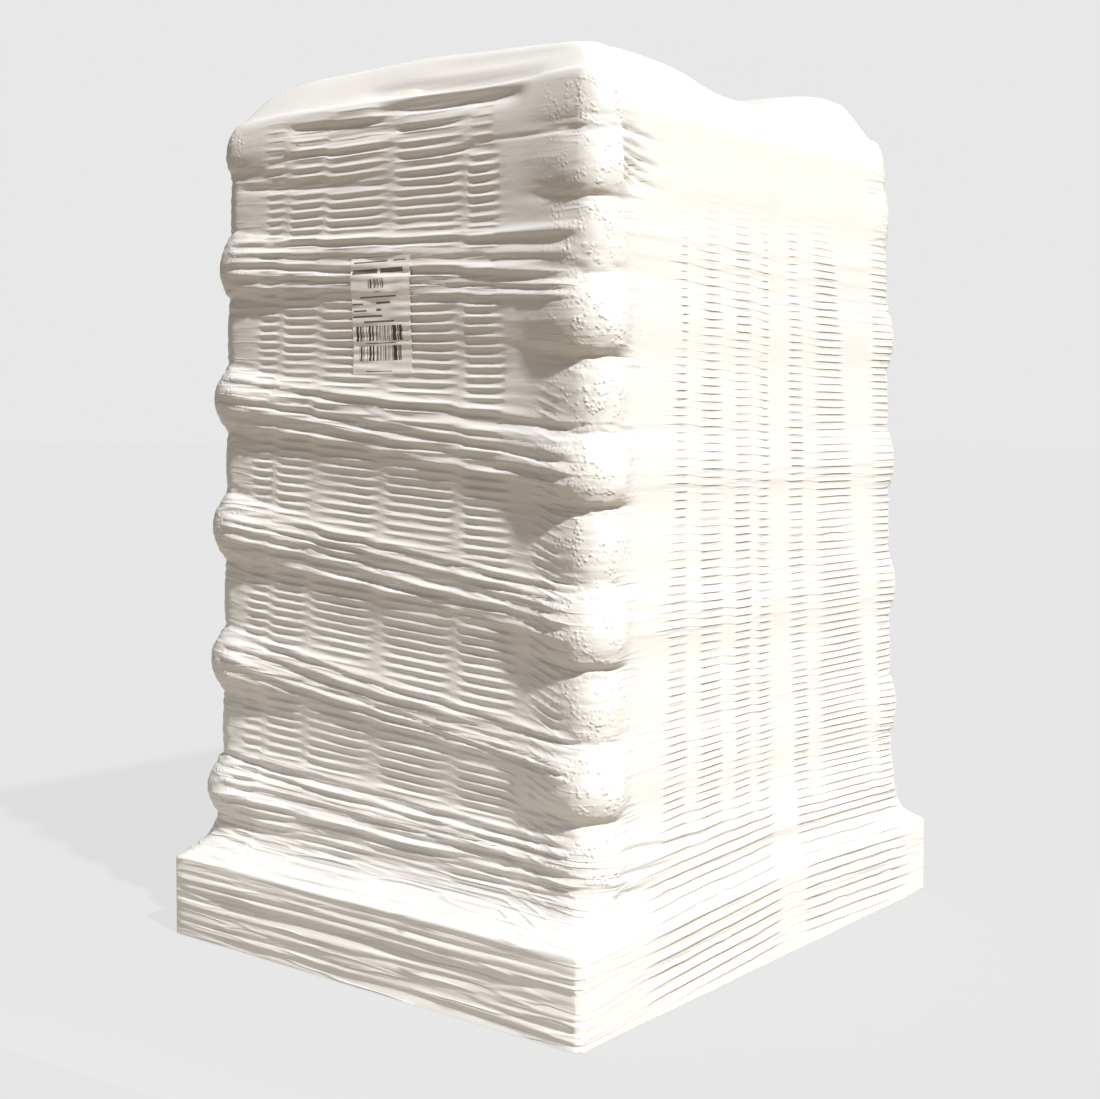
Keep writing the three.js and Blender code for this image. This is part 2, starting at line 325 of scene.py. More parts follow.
@dataclass(frozen=True)
class StretchFilm:
    """White pigmented polyethylene film, blown and stretched over the load.

    It is opaque and satin, so crests catch a soft highlight. Loose pellets press small bumps through it where
    a sack's corner pulls it tight, and the pull leaves fine level wrinkles and thin sharp ridges.

    Attributes:
        tone: the film's colour, and thin_tone that of the patches where it is stretched thinner.
        patch: size of those patches.
        pellet: size of a pressed pellet, pellet_height its relief, and cluster the size of their groups.
        wrinkle: height of a fine level wrinkle, wrinkle_length its length and wrinkle_height its relief.
        ripple_pitch: height of a ripple, and ripple_height its relief.
        ripple_front: part of a ripple's height in which it rises, and ripple_back that in which it falls.
        crinkle: height of the waves that the thin ridges follow, crinkle_length their length, crinkle_breadth
            the part of the waves that a ridge takes, and crinkle_height its relief.
    """

    tone: str = "e6e3de"
    thin_tone: str = "dcd9d6"
    patch: float = 0.2
    roughness: float = 0.42
    refraction: float = 1.51
    pellet: float = 0.0075
    pellet_height: float = 0.0020
    cluster: float = 1 / 38
    wrinkle: float = 0.0045
    wrinkle_length: float = 1 / 18
    wrinkle_height: float = 0.00022
    ripple_pitch: float = 0.017
    ripple_height: float = 0.0015
    ripple_front: Band = (0.04, 0.25)
    ripple_back: Band = (0.25, 0.62)
    crinkle: float = 0.019
    crinkle_length: float = 0.24
    crinkle_breadth: float = 0.10
    crinkle_height: float = 0.0013

    def material(self) -> Material:
        """Builds the material, which reads the film's own attributes and Object coordinates."""
        made, tree, shader = start_material("stretched_polyethylene_film")
        place = object_place(tree)
        patches = add_node(tree, NOISE, {"Vector": place, "Scale": 1 / self.patch, "Detail": 3.0})
        colours = {6: linear(self.tone), 7: linear(self.thin_tone)}
        tones = add_node(tree, MIX, {0: patches, **colours}, data_type="RGBA")
        height = self._pressed_pellets(tree, place)
        height = self._level_wrinkles(tree, place, height)
        height = self._sharp_ripples(tree, height)
        height = self._thin_ridges(tree, place, height)
        bump = add_node(tree, BUMP, {"Height": height, "Strength": 1.0, "Distance": 1.0})
        set_inputs(tree, shader, {"Base Color": tones.outputs[2], "Normal": bump})
        set_inputs(tree, shader, {"Roughness": self.roughness, "IOR": self.refraction})
        return made

    @staticmethod
    def _stored(tree: Tree, name: str) -> Socket:
        """Reads one of the numbers that are stored on the film."""
        return add_node(tree, ATTRIBUTE, attribute_name=name).outputs["Fac"]

    def _pressed_pellets(self, tree: Tree, place: Socket) -> Node:
        """Adds round bumps in loose groups, as strong as the stored number says.

        Args:
            tree: the material's nodes.
            place: the Object coordinates.

        Returns:
            The node that gives their relief.
        """
        spread = {"Vector": place, "Scale": 1 / self.pellet, "Smoothness": 0.6, "Randomness": 1.0}
        cells = add_node(tree, CELLS, spread, feature="SMOOTH_F1")
        height = add_node(tree, RANGE, {0: cells, 1: 0.55, 2: 0.1, 3: 0.0, 4: 1.0})
        groups = add_node(tree, NOISE, {"Vector": place, "Scale": 1 / self.cluster, "Detail": 1.0})
        grouped = add_node(tree, RANGE, {0: groups, 1: 0.42, 2: 0.62, 3: 0.0, 4: 1.0})
        for share in (grouped, self._stored(tree, "pellets"), self.pellet_height):
            height = add_node(tree, MATH, {0: height, 1: share}, operation="MULTIPLY")
        return height

    def _level_wrinkles(self, tree: Tree, place: Socket, height: Node) -> Node:
        """Adds fine level wrinkles all over.

        Args:
            tree: the material's nodes.
            place: the Object coordinates.
            height: the relief so far.

        Returns:
            The node that gives the relief with them.
        """
        stretch = (1 / self.wrinkle_length, 1 / self.wrinkle_length, 1 / self.wrinkle)
        level = add_node(tree, MAPPING, {"Vector": place, "Scale": stretch})
        wrinkles = add_node(tree, NOISE, {"Vector": level, "Scale": 1.0, "Detail": 2.0, "Roughness": 0.6})
        raised = {0: wrinkles, 1: self.wrinkle_height, 2: height}
        return add_node(tree, MATH, raised, operation="MULTIPLY_ADD")

    def _sharp_ripples(self, tree: Tree, height: Node) -> Node:
        """Sharpens the mesh's ripples, which the light should catch as crisp lines.

        Args:
            tree: the material's nodes.
            height: the relief so far.

        Returns:
            The node that gives the relief with them.
        """
        run = self._stored(tree, "ripple_run")
        turns = add_node(tree, MATH, {0: run, 1: self.ripple_pitch}, operation="DIVIDE")
        turn = add_node(tree, MATH, {0: turns}, operation="FRACT")
        rising, falling = (
            add_node(tree, RANGE, {0: turn, 1: low, 2: high, 3: 0.0, 4: 1.0}, interpolation_type="SMOOTHSTEP")
            for low, high in (self.ripple_front, self.ripple_back)
        )
        saw = add_node(tree, MATH, {0: rising, 1: falling}, operation="SUBTRACT")
        about = add_node(tree, MATH, {0: saw, 1: 0.5}, operation="SUBTRACT")
        share = self._stored(tree, "ripple_share")
        deep = add_node(tree, MATH, {0: share, 1: self.ripple_height}, operation="MULTIPLY")
        return add_node(tree, MATH, {0: about, 1: deep, 2: height}, operation="MULTIPLY_ADD")

    def _thin_ridges(self, tree: Tree, place: Socket, height: Node) -> Node:
        """Adds thin sharp ridges that follow the long folds.

        Args:
            tree: the material's nodes.
            place: the Object coordinates.
            height: the relief so far.

        Returns:
            The node that gives the relief with them.
        """
        run = self._stored(tree, "fold_run")
        folds = add_node(tree, MATH, {0: run, 1: self.crinkle}, operation="DIVIDE")
        up = add_node(tree, "ShaderNodeCombineXYZ", {"Z": folds})
        stretch = (1 / self.crinkle_length, 1 / self.crinkle_length, 0.0)
        drawn = add_node(tree, VECTOR_MATH, {0: place, 1: stretch, 2: up}, operation="MULTIPLY_ADD")
        crossed = add_node(tree, NOISE, {"Vector": drawn, "Scale": 1.0, "Detail": 1.0})
        off = add_node(tree, MATH, {0: crossed, 1: 0.5}, operation="SUBTRACT")
        off = add_node(tree, MATH, {0: off}, operation="ABSOLUTE")
        ends = {1: 0.0, 2: self.crinkle_breadth, 3: self.crinkle_height, 4: 0.0}
        lines = add_node(tree, RANGE, {0: off, **ends}, interpolation_type="SMOOTHSTEP")
        share = self._stored(tree, "crinkles")
        return add_node(tree, MATH, {0: lines, 1: share, 2: height}, operation="MULTIPLY_ADD")


@dataclass(frozen=True)
class SackFilm:
    """Blown polyethylene sack film: satin and cream, with the load's pellets showing faintly through."""

    tone: str = "e9e4da"
    roughness: float = 0.38
    pellet: float = 0.007
    pellet_height: float = 0.0006

    def material(self) -> Material:
        """Builds the material on Object coordinates."""
        made, tree, shader = start_material("blown_polyethylene_sack_film")
        spread = {"Vector": object_place(tree), "Scale": 1 / self.pellet}
        cells = add_node(tree, CELLS, spread, feature="SMOOTH_F1")
        relief = {"Height": cells, "Strength": 0.5, "Distance": self.pellet_height}
        bump = add_node(tree, BUMP, relief, invert=True)
        set_inputs(tree, shader, {"Base Color": linear(self.tone), "Normal": bump})
        set_inputs(tree, shader, {"Roughness": self.roughness})
        return made


@dataclass(frozen=True)
class SawnPine:
    """Rough-sawn softwood: warm straw tone, darker growth rings and a fuzzy saw-cut surface.

    Attributes:
        ring: width of a growth ring, and ring_length the length of its streaks.
        saw_mark: size of the saw's marks, and saw_depth their relief.
    """

    light_tone: str = "d2b486"
    dark_tone: str = "a5814f"
    roughness: float = 0.82
    ring: float = 0.009
    ring_length: float = 1 / 3
    saw_mark: float = 0.0035
    saw_depth: float = 0.0006

    def material(self, grain: Grain) -> Material:
        """Builds the material with its grain along one axis.

        Args:
            grain: which way the boards run.

        Returns:
            The material, on Object coordinates.
        """
        made, tree, shader = start_material(f"rough_sawn_pine_{grain.name.lower()}")
        place = object_place(tree)
        lengthwise, across = 1 / self.ring_length, 1 / self.ring
        along_x = grain is Grain.ALONG_X
        stretch = (lengthwise, across, across) if along_x else (across, lengthwise, across)
        drawn = add_node(tree, MAPPING, {"Vector": place, "Scale": stretch})
        rings = add_node(tree, NOISE, {"Vector": drawn, "Scale": 1.0, "Detail": 4.0, "Distortion": 0.6})
        colours = {6: linear(self.dark_tone), 7: linear(self.light_tone)}
        tones = add_node(tree, MIX, {0: rings, **colours}, data_type="RGBA")
        saw = add_node(tree, NOISE, {"Vector": place, "Scale": 1 / self.saw_mark, "Detail": 2.0})
        bump = add_node(tree, BUMP, {"Height": saw, "Strength": 0.6, "Distance": self.saw_depth})
        set_inputs(tree, shader, {"Base Color": tones.outputs[2], "Normal": bump})
        set_inputs(tree, shader, {"Roughness": self.roughness})
        return made


@dataclass(frozen=True)
class LabelPaper:
    """Coated label paper, smooth and faintly warm, with a plain printed form of bars and rules.

    It reads the label's UV map, which runs from 0 to 1 across and up the sheet.

    Attributes:
        bar_count: lanes across the sheet that may hold a bar, and bar_gaps the share of them that stay bare.
        bar_blocks: left, right, bottom and top edges of the blocks of bars, and rules those of the rules.
    """

    paper: str = "f6f4f1"
    ink: str = "3f3b38"
    rule_ink: str = "6f6a66"
    roughness: float = 0.5
    bar_count: float = 105.0
    bar_gaps: float = 0.46
    bar_blocks: tuple[Four, ...] = (
        (0.06, 0.86, 0.285, 0.415), (0.10, 0.82, 0.115, 0.245), (0.30, 0.58, 0.735, 0.815),
    )
    rules: tuple[Four, ...] = (
        (0.06, 0.62, 0.955, 0.968), (0.72, 0.92, 0.958, 0.968), (0.03, 0.45, 0.862, 0.902),
        (0.50, 0.88, 0.862, 0.902), (0.40, 0.52, 0.700, 0.706), (0.14, 0.76, 0.655, 0.668),
        (0.01, 0.20, 0.600, 0.612), (0.42, 0.66, 0.600, 0.618), (0.03, 0.26, 0.540, 0.554),
        (0.42, 0.50, 0.540, 0.560), (0.01, 0.52, 0.490, 0.506), (0.20, 0.72, 0.442, 0.458),
        (0.22, 0.74, 0.262, 0.270), (0.22, 0.66, 0.020, 0.028),
    )

    def material(self) -> Material:
        """Builds the paper and its print."""
        made, tree, shader = start_material("coated_label_paper")
        sheet = add_node(tree, "ShaderNodeUVMap", uv_map="sheet").outputs["UV"]
        across = add_node(tree, "ShaderNodeSeparateXYZ", {0: sheet}).outputs["X"]
        lanes = add_node(tree, MATH, {0: across, 1: self.bar_count}, operation="MULTIPLY")
        lane = add_node(tree, MATH, {0: lanes}, operation="FLOOR")
        chance = add_node(tree, "ShaderNodeTexWhiteNoise", {"W": lane}, noise_dimensions="1D")
        bars = add_node(tree, MATH, {0: chance.outputs["Value"], 1: self.bar_gaps}, operation="GREATER_THAN")
        tone = linear(self.paper)
        for boxes, ink, pattern in ((self.bar_blocks, self.ink, bars), (self.rules, self.rule_ink, 1.0)):
            for box in boxes:
                inside = self._inside(tree, sheet, box)
                printed = add_node(tree, MATH, {0: inside, 1: pattern}, operation="MULTIPLY")
                mixed = add_node(tree, MIX, {0: printed, 6: tone, 7: linear(ink)}, data_type="RGBA")
                tone = mixed.outputs[2]
        set_inputs(tree, shader, {"Base Color": tone, "Roughness": self.roughness})
        return made

    def _inside(self, tree: Tree, sheet: Socket, box: tuple) -> Node:
        """Adds a mask of one rectangle of the sheet.

        Args:
            tree: the material's nodes.
            sheet: the UV socket.
            box: left, right, bottom and top edges, from 0 to 1.

        Returns:
            A node that gives 1 inside the rectangle.
        """
        left, right, bottom, top = box
        centre = ((left + right) / 2, (bottom + top) / 2, 0.0)
        half = ((right - left) / 2, (top - bottom) / 2, 1.0)
        away = add_node(tree, VECTOR_MATH, {0: sheet, 1: centre}, operation="SUBTRACT")
        away = add_node(tree, VECTOR_MATH, {0: away}, operation="ABSOLUTE")
        away = add_node(tree, VECTOR_MATH, {0: away, 1: half}, operation="DIVIDE")
        parts = add_node(tree, "ShaderNodeSeparateXYZ", {0: away})
        most = add_node(tree, MATH, {0: parts.outputs[0], 1: parts.outputs[1]}, operation="MAXIMUM")
        return add_node(tree, MATH, {0: most, 1: 1.0}, operation="LESS_THAN")


@dataclass(frozen=True)
class StudioFloor:
    """Seamless pale studio floor, mostly self-lit so that shadows on it stay soft and light."""

    reflected: float = 0.05
    glow: float = 0.72
    roughness: float = 0.9

    def material(self) -> Material:
        """Builds the floor's material."""
        made, tree, shader = start_material("studio_floor_paper")
        tone = (self.reflected,) * 3 + (1.0,)
        set_inputs(tree, shader, {"Base Color": tone, "Roughness": self.roughness, "Specular IOR Level": 0.0})
        set_inputs(tree, shader, {"Emission Color": (1.0,) * 4, "Emission Strength": self.glow})
        return made


# The load's outline, which the film follows


@dataclass
class Columns:
    """Columns of film round a rounded rectangle, anticlockwise from the start of the +X side.

    Attributes:
        side_step: spacing of the columns along the sides.
        corner_facets: steps in each corner.
        flats: half lengths of the straight stretch of the +X and the +Y sides.
        corner_radius: radius of the stack's corners.
    """

    side_step: float
    corner_facets: int
    flats: Band
    corner_radius: float
    normal: Array = field(init=False)
    corner: Array = field(init=False)
    stop: Array = field(init=False)
    side: Array = field(init=False)
    phase: Array = field(init=False)
    from_corner: Array = field(init=False)

    def __post_init__(self) -> None:
        """Lists the columns of the four sides and corners."""
        ends = {Side.RIGHT: (0, 0), Side.BACK: (0, -1), Side.LEFT: (-1, -1), Side.FRONT: (-1, 0)}
        corners = ((1, 1), (-1, 1), (-1, -1), (1, -1))
        rows = []
        for side in Side:
            k = side.value
            flat = self.flats[k % 2]
            count = round(2 * flat / self.side_step)
            quarter = self.corner_radius * math.pi / 4
            start, end = ends[side]
            nx, ny = round(math.cos(k * math.pi / 2)), round(math.sin(k * math.pi / 2))
            for j in range(1, count):
                stop = 2 * j / count - 1
                phase = start + (end - start) * (stop + 1) / 2
                rows.append((nx, ny, 0, 0, stop, k, phase, (1 - abs(stop)) * flat + quarter))
            for j in range(self.corner_facets + 1):
                turn = j / self.corner_facets
                angle = (k + turn) * math.pi / 2
                away = abs(turn - 0.5) * 2 * quarter
                rows.append((math.cos(angle), math.sin(angle), *corners[k], 1, k, end, away))
        table = np.array(rows)
        self.normal = table[:, 0:2]
        self.corner = table[:, 2:4]
        self.stop = table[:, 4]
        self.side = table[:, 5].astype(int)
        self.phase = table[:, 6]
        self.from_corner = table[:, 7]

    @property
    def corner_number(self) -> Array:
        """Says which corner each column is nearest to, numbered as the sides that they end."""
        return np.where(self.stop < 0, self.side - 1, self.side) % 4

    @property
    def on_corner(self) -> Array:
        """Says which columns are in a corner."""
        return self.corner[:, 0] != 0


@dataclass
class LoadShape:
    """What the film is stretched over: the pallet, and the stack with its layers standing out by turns.

    Attributes:
        levels: heights of the layers' boundaries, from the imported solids.
        half_x: half the pallet's size along X, and half_y along Y.
        film_room: how far the film stands off the pallet, and skin how far above its deck and the stack.
        insets_low: how far the stack stands in from the pallet's edges along X and Y at its foot, and
            insets_high at its top.
        corner_radius: of the stack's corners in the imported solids, and corner_radii those of the film. Such
            groups of four hold a value for the corner at the end of each side.
        pallet_radius: of the film round the pallet's corners, and least_radius the tightest anywhere.
        corner_bulges: how far a layer stands out at its proud corners.
        corner_minors: share of the bulge with which the layers between stand out there.
        corner_reaches: how far along the sides the corners' bulges go.
        side_reach: share of that reach on the +X and -X sides.
        corner_skews: 1 where a bulge is widest at its layer's middle, less where it hangs lower.
        bulge_roundness: less than 1 for fuller bulges.
        corner_calm: share by which the corners' bulges fade towards the top, and the layer numbers over
            which they do, and face_calm and sway_calm the same for the sides' bulges and sway.
        bridge: share of the bulge that the film keeps where it bridges the layers between.
        face_bulge: how far every layer swells along the sides.
        face_sway: how far the proud layers stand out along the +X and -X sides, and along the +Y and -Y
            sides, where they run in a slope from corner to corner.
        sway_rise: share of each wave's height in which the film leans out, and sway_lead how many layers
            below the proud one it starts.
        flare: for each ring above the deck, its height over the deck and its share of the stack's inset.
        shoulders: for each ring at the stack's upper edge, its height over it and how far it stands in, and
            front_shoulders the same on the +Y and -Y sides.
        crown_rise: height of the crown over the shoulder.
        crown_squareness: how flat the crown is before it falls to its edge, and left_squareness at -X.
        near_sack_drop: how much lower the top sack at +X, -Y lies.
        crown_dip: depth of the dips between the top sacks, dip_width half their width, dip_place where the
            one at +X lies along Y, and dip_reach more than 1 where they get deep before the edge.
    """

    levels: Array
    half_x: float = 0.500
    half_y: float = 0.600
    film_room: float = 0.0054
    insets_low: Band = (0.021, 0.067)
    insets_high: Band = (0.030, 0.096)
    corner_radius: float = 0.060
    corner_radii: Four = (0.056, 0.060, 0.062, 0.050)
    pallet_radius: float = 0.010
    least_radius: float = 0.007
    corner_bulges: Four = (0.014, 0.020, 0.026, 0.025)
    corner_minors: Four = (0.1, 0.1, 0.10, 0.36)
    corner_reaches: Four = (0.10, 0.12, 0.15, 0.075)
    corner_skews: Four = (1.0, 1.0, 1.0, 0.74)
    side_reach: float = 0.28
    bulge_roundness: float = 0.85
    corner_calm: Three = (0.5, 8.5, 10.5)
    face_calm: Three = (0.6, 9.8, 10.6)
    sway_calm: Three = (0.9, 9.3, 10.2)
    bridge: float = 0.10
    face_bulge: float = 0.002
    face_sway: Band = (0.003, 0.006)
    sway_rise: float = 0.42
    sway_lead: float = 0.40
    skin: float = 0.0024
    flare: tuple = ((0.004, 0.00), (0.009, 0.09), (0.016, 0.25), (0.038, 0.67), (0.068, 0.88))
    shoulders: tuple = ((-0.040, 0.005), (-0.016, 0.016), (0.000, 0.034))
    front_shoulders: tuple = ((-0.036, 0.003), (-0.010, 0.010), (0.003, 0.030))
    crown_rise: float = 0.078
    crown_squareness: float = 9.0
    left_squareness: float = 6.0
    near_sack_drop: float = 0.025
    crown_dip: float = 0.062
    dip_width: float = 0.170
    dip_place: float = 0.045
    dip_reach: float = 1.4

    @property
    def floor(self) -> float:
        """Height of the pallet's deck."""
        return float(self.levels[0])

    @property
    def top(self) -> float:
        """Height of the stack's upper edge."""
        return float(self.levels[-1])

    @property
    def flats(self) -> tuple[float, float]:
        """Half lengths of the straight stretches of the +X and the +Y sides."""
        inset_x, inset_y = self.insets_low
        return self.half_y - inset_y - self.corner_radius, self.half_x - inset_x - self.corner_radius

    def layer_at(self, z: Array) -> Array:
        """Running layer number at a height, 0 at the foot of the lowest layer."""
        return np.interp(z, self.levels, np.arange(len(self.levels)))

    def halves(self, z: Array) -> tuple[Array, Array]:
        """Half the stack's width and depth at a height.

        Args:
            z: heights.

        Returns:
            Half the width, and half the depth.
        """
        through = np.clip((z - self.floor) / (self.top - self.floor), 0, 1)
        ends = zip(self.insets_low, self.insets_high)
        inset_x, inset_y = (low + (high - low) * through for low, high in ends)
        return self.half_x - inset_x, self.half_y - inset_y

    @staticmethod
    def _calmer(calm: Three, layer: Array) -> Array:
        """Fades from 1 by a share of it over a run of layers."""
        share, start, end = calm
        return 1 - share * smooth_step(start, end, layer)

    def push(self, columns: Columns, layer: Array) -> Array:
        """How far the film stands out from the stack's plain outline.

        Args:
            columns: the film's columns.
            layer: running layer numbers, one for each ring.

        Returns:
            Metres outwards, one row for each ring.
        """
        even = columns.side % 2 == 0
        corner_number = columns.corner_number
        own = layer + columns.phase
        minor = np.array(self.corner_minors)[corner_number] * np.maximum(-np.sin(np.pi * own), 0)
        hanging = np.sin(np.pi * (own % 2.0) ** np.array(self.corner_skews)[corner_number])
        knuckle = self.bridge + (1 - self.bridge) * (np.maximum(hanging, 0) ** self.bulge_roundness + minor)
        corner = np.array(self.corner_bulges)[corner_number] * knuckle * self._calmer(self.corner_calm, layer)
        face = self.face_bulge * (0.5 - 0.5 * np.cos(2 * np.pi * layer)) * self._calmer(self.face_calm, layer)
        turn = ((own + self.sway_lead) / 2) % 1.0
        leaning = 0.5 - 0.5 * np.cos(np.pi * np.clip(turn / self.sway_rise, 0, 1))
        falling = 0.5 + 0.5 * np.cos(np.pi * np.clip((turn - self.sway_rise) / (1 - self.sway_rise), 0, 1))
        sway = np.where(even, *self.face_sway) * np.where(turn < self.sway_rise, leaning, falling)
        sway = sway * self._calmer(self.sway_calm, layer)
        flat_away = np.maximum(columns.from_corner - self.corner_radius * math.pi / 4, 0)
        reach = np.array(self.corner_reaches)[corner_number] * np.where(even, self.side_reach, 1.0)
        near = hill(flat_away, reach)
        return (face + sway) * (1 - near) + corner * near

    def outline(self, columns: Columns, halves: tuple, radius: Array, out: Array) -> Array:
        """Points of rings round the load.

        Args:
            columns: the film's columns.
            halves: half the width and half the depth of each ring.
            radius: each ring's corner radius.
            out: metres outwards, for each ring and column.

        Returns:
            X and Y, for each ring and column.
        """
        own = np.array(self.corner_radii)[columns.corner_number] / self.corner_radius
        reach = np.maximum(radius * own + 0.6 * out, self.least_radius)
        wide_x, wide_y = halves[0] + out, halves[1] + out
        nx, ny = columns.normal.T
        sx, sy = columns.corner.T
        flat_x = nx * wide_x - ny * columns.stop * (wide_x - reach)
        flat_y = ny * wide_y + nx * columns.stop * (wide_y - reach)
        x = np.where(columns.on_corner, sx * (wide_x - reach) + nx * reach, flat_x)
        y = np.where(columns.on_corner, sy * (wide_y - reach) + ny * reach, flat_y)
        return np.stack((x, y), -1)

    def rise(self, x: Array, y: Array) -> Array:
        """Height of the crown over the stack's edge: three sacks at -X, two at +X, and dips between.

        Args:
            x: places along X.
            y: places along Y.

        Returns:
            Metres upwards.
        """
        half_x, half_y = self.halves(self.top)

        def fall(share: Array, squareness: float | Array) -> Array:
            """Falls from 1 in the middle to 0 at the edge."""
            return np.sqrt(np.maximum(0, 1 - np.abs(share) ** squareness))

        def dip(seam: float) -> Array:
            """Dip over one gap between sacks."""
            return hill(y - seam, self.dip_width)

        right = smooth_step(-0.10, 0.10, x)
        dips = right * dip(self.dip_place) + (1 - right) * (dip(half_y / 3) + dip(-half_y / 3))
        edge = smooth_step(0, 1, self.dip_reach * np.abs(x / half_x))
        drop = self.near_sack_drop * smooth_step(0, 1, x / half_x) * smooth_step(0.5, -0.5, 2 * y / half_y)
        squareness = np.where(x < 0, self.left_squareness, self.crown_squareness)
        height = self.crown_rise - drop - self.crown_dip * edge * dips
        return fall(x / half_x, squareness) * fall(y / half_y, self.crown_squareness) * height


def through_rings(rings: list[Array], steps: int) -> Array:
    """Draws a smooth skin through key rings.

    Args:
        rings: key rings of points. The first and the last only steer the skin.
        steps: rings made for each gap between key rings.

    Returns:
        Rings from the second key ring up to just before the last but one.
    """
    made = []
    for a, b, c, d in zip(rings, rings[1:], rings[2:], rings[3:]):
        for j in range(steps):
            t = j / steps
            bend = (2 * a - 5 * b + 4 * c - d) * t**2 + (3 * b - a - 3 * c + d) * t**3
            made.append(0.5 * (2 * b + (c - a) * t + bend))
    return np.array(made)


@dataclass(frozen=True)
class Lane:
    """A stretch of film that ripples, which may drift sideways on its way down.

    Attributes:
        top: where it starts and ends along the side at top_height, and foot the same at foot_height.
    """

    top: Band
    foot: Band
    top_height: float = 1.450
    foot_height: float = 0.300

    def edges(self, z: Array) -> tuple[Array, Array]:
        """Says where the lane starts and ends along the side at a height.

        Args:
            z: heights.

        Returns:
            Its start and its end.
        """
        down = np.clip((self.top_height - z) / (self.top_height - self.foot_height), -0.1, 1.2)
        start, end = (top + (foot - top) * down for top, foot in zip(self.top, self.foot))
        return start, end

    def share(self, along: Array, z: Array) -> Array:
        """Goes from 0 at the lane's edges to 1 in its middle.

        Args:
            along: places along the side.
            z: heights.

        Returns:
            The share of ripples there.
        """
        start, end = self.edges(z)
        across = np.clip((along - start) / (end - start), 0, 1)
        return np.clip(7.0 * across * (1 - across), 0, 1) ** 0.8


@dataclass(frozen=True)
class Crease:
    """One listed fold of the film, straight along a side.

    Attributes:
        side: the side that it lies on.
        start: its place along the side and its height, and end the same.
        width: half its height.
        depth: how far it goes in, or out where it is negative.
    """

    side: Side
    start: Band
    end: Band
    width: float
    depth: float

    def relief(self, side: Array, along: Array, z: Array) -> Array:
        """Says how far the film stands out for it.

        Args:
            side: number of each column's side.
            along: places along the side.
            z: heights.

        Returns:
            Metres outwards.
        """
        t = np.clip((along - self.start[0]) / (self.end[0] - self.start[0]), 0, 1)
        middle = self.start[1] + (self.end[1] - self.start[1]) * t
        taper = np.clip(4 * t * (1 - t), 0, 1) ** 0.5
        return -self.depth * taper * hill(z - middle, self.width) * (side == self.side.value)


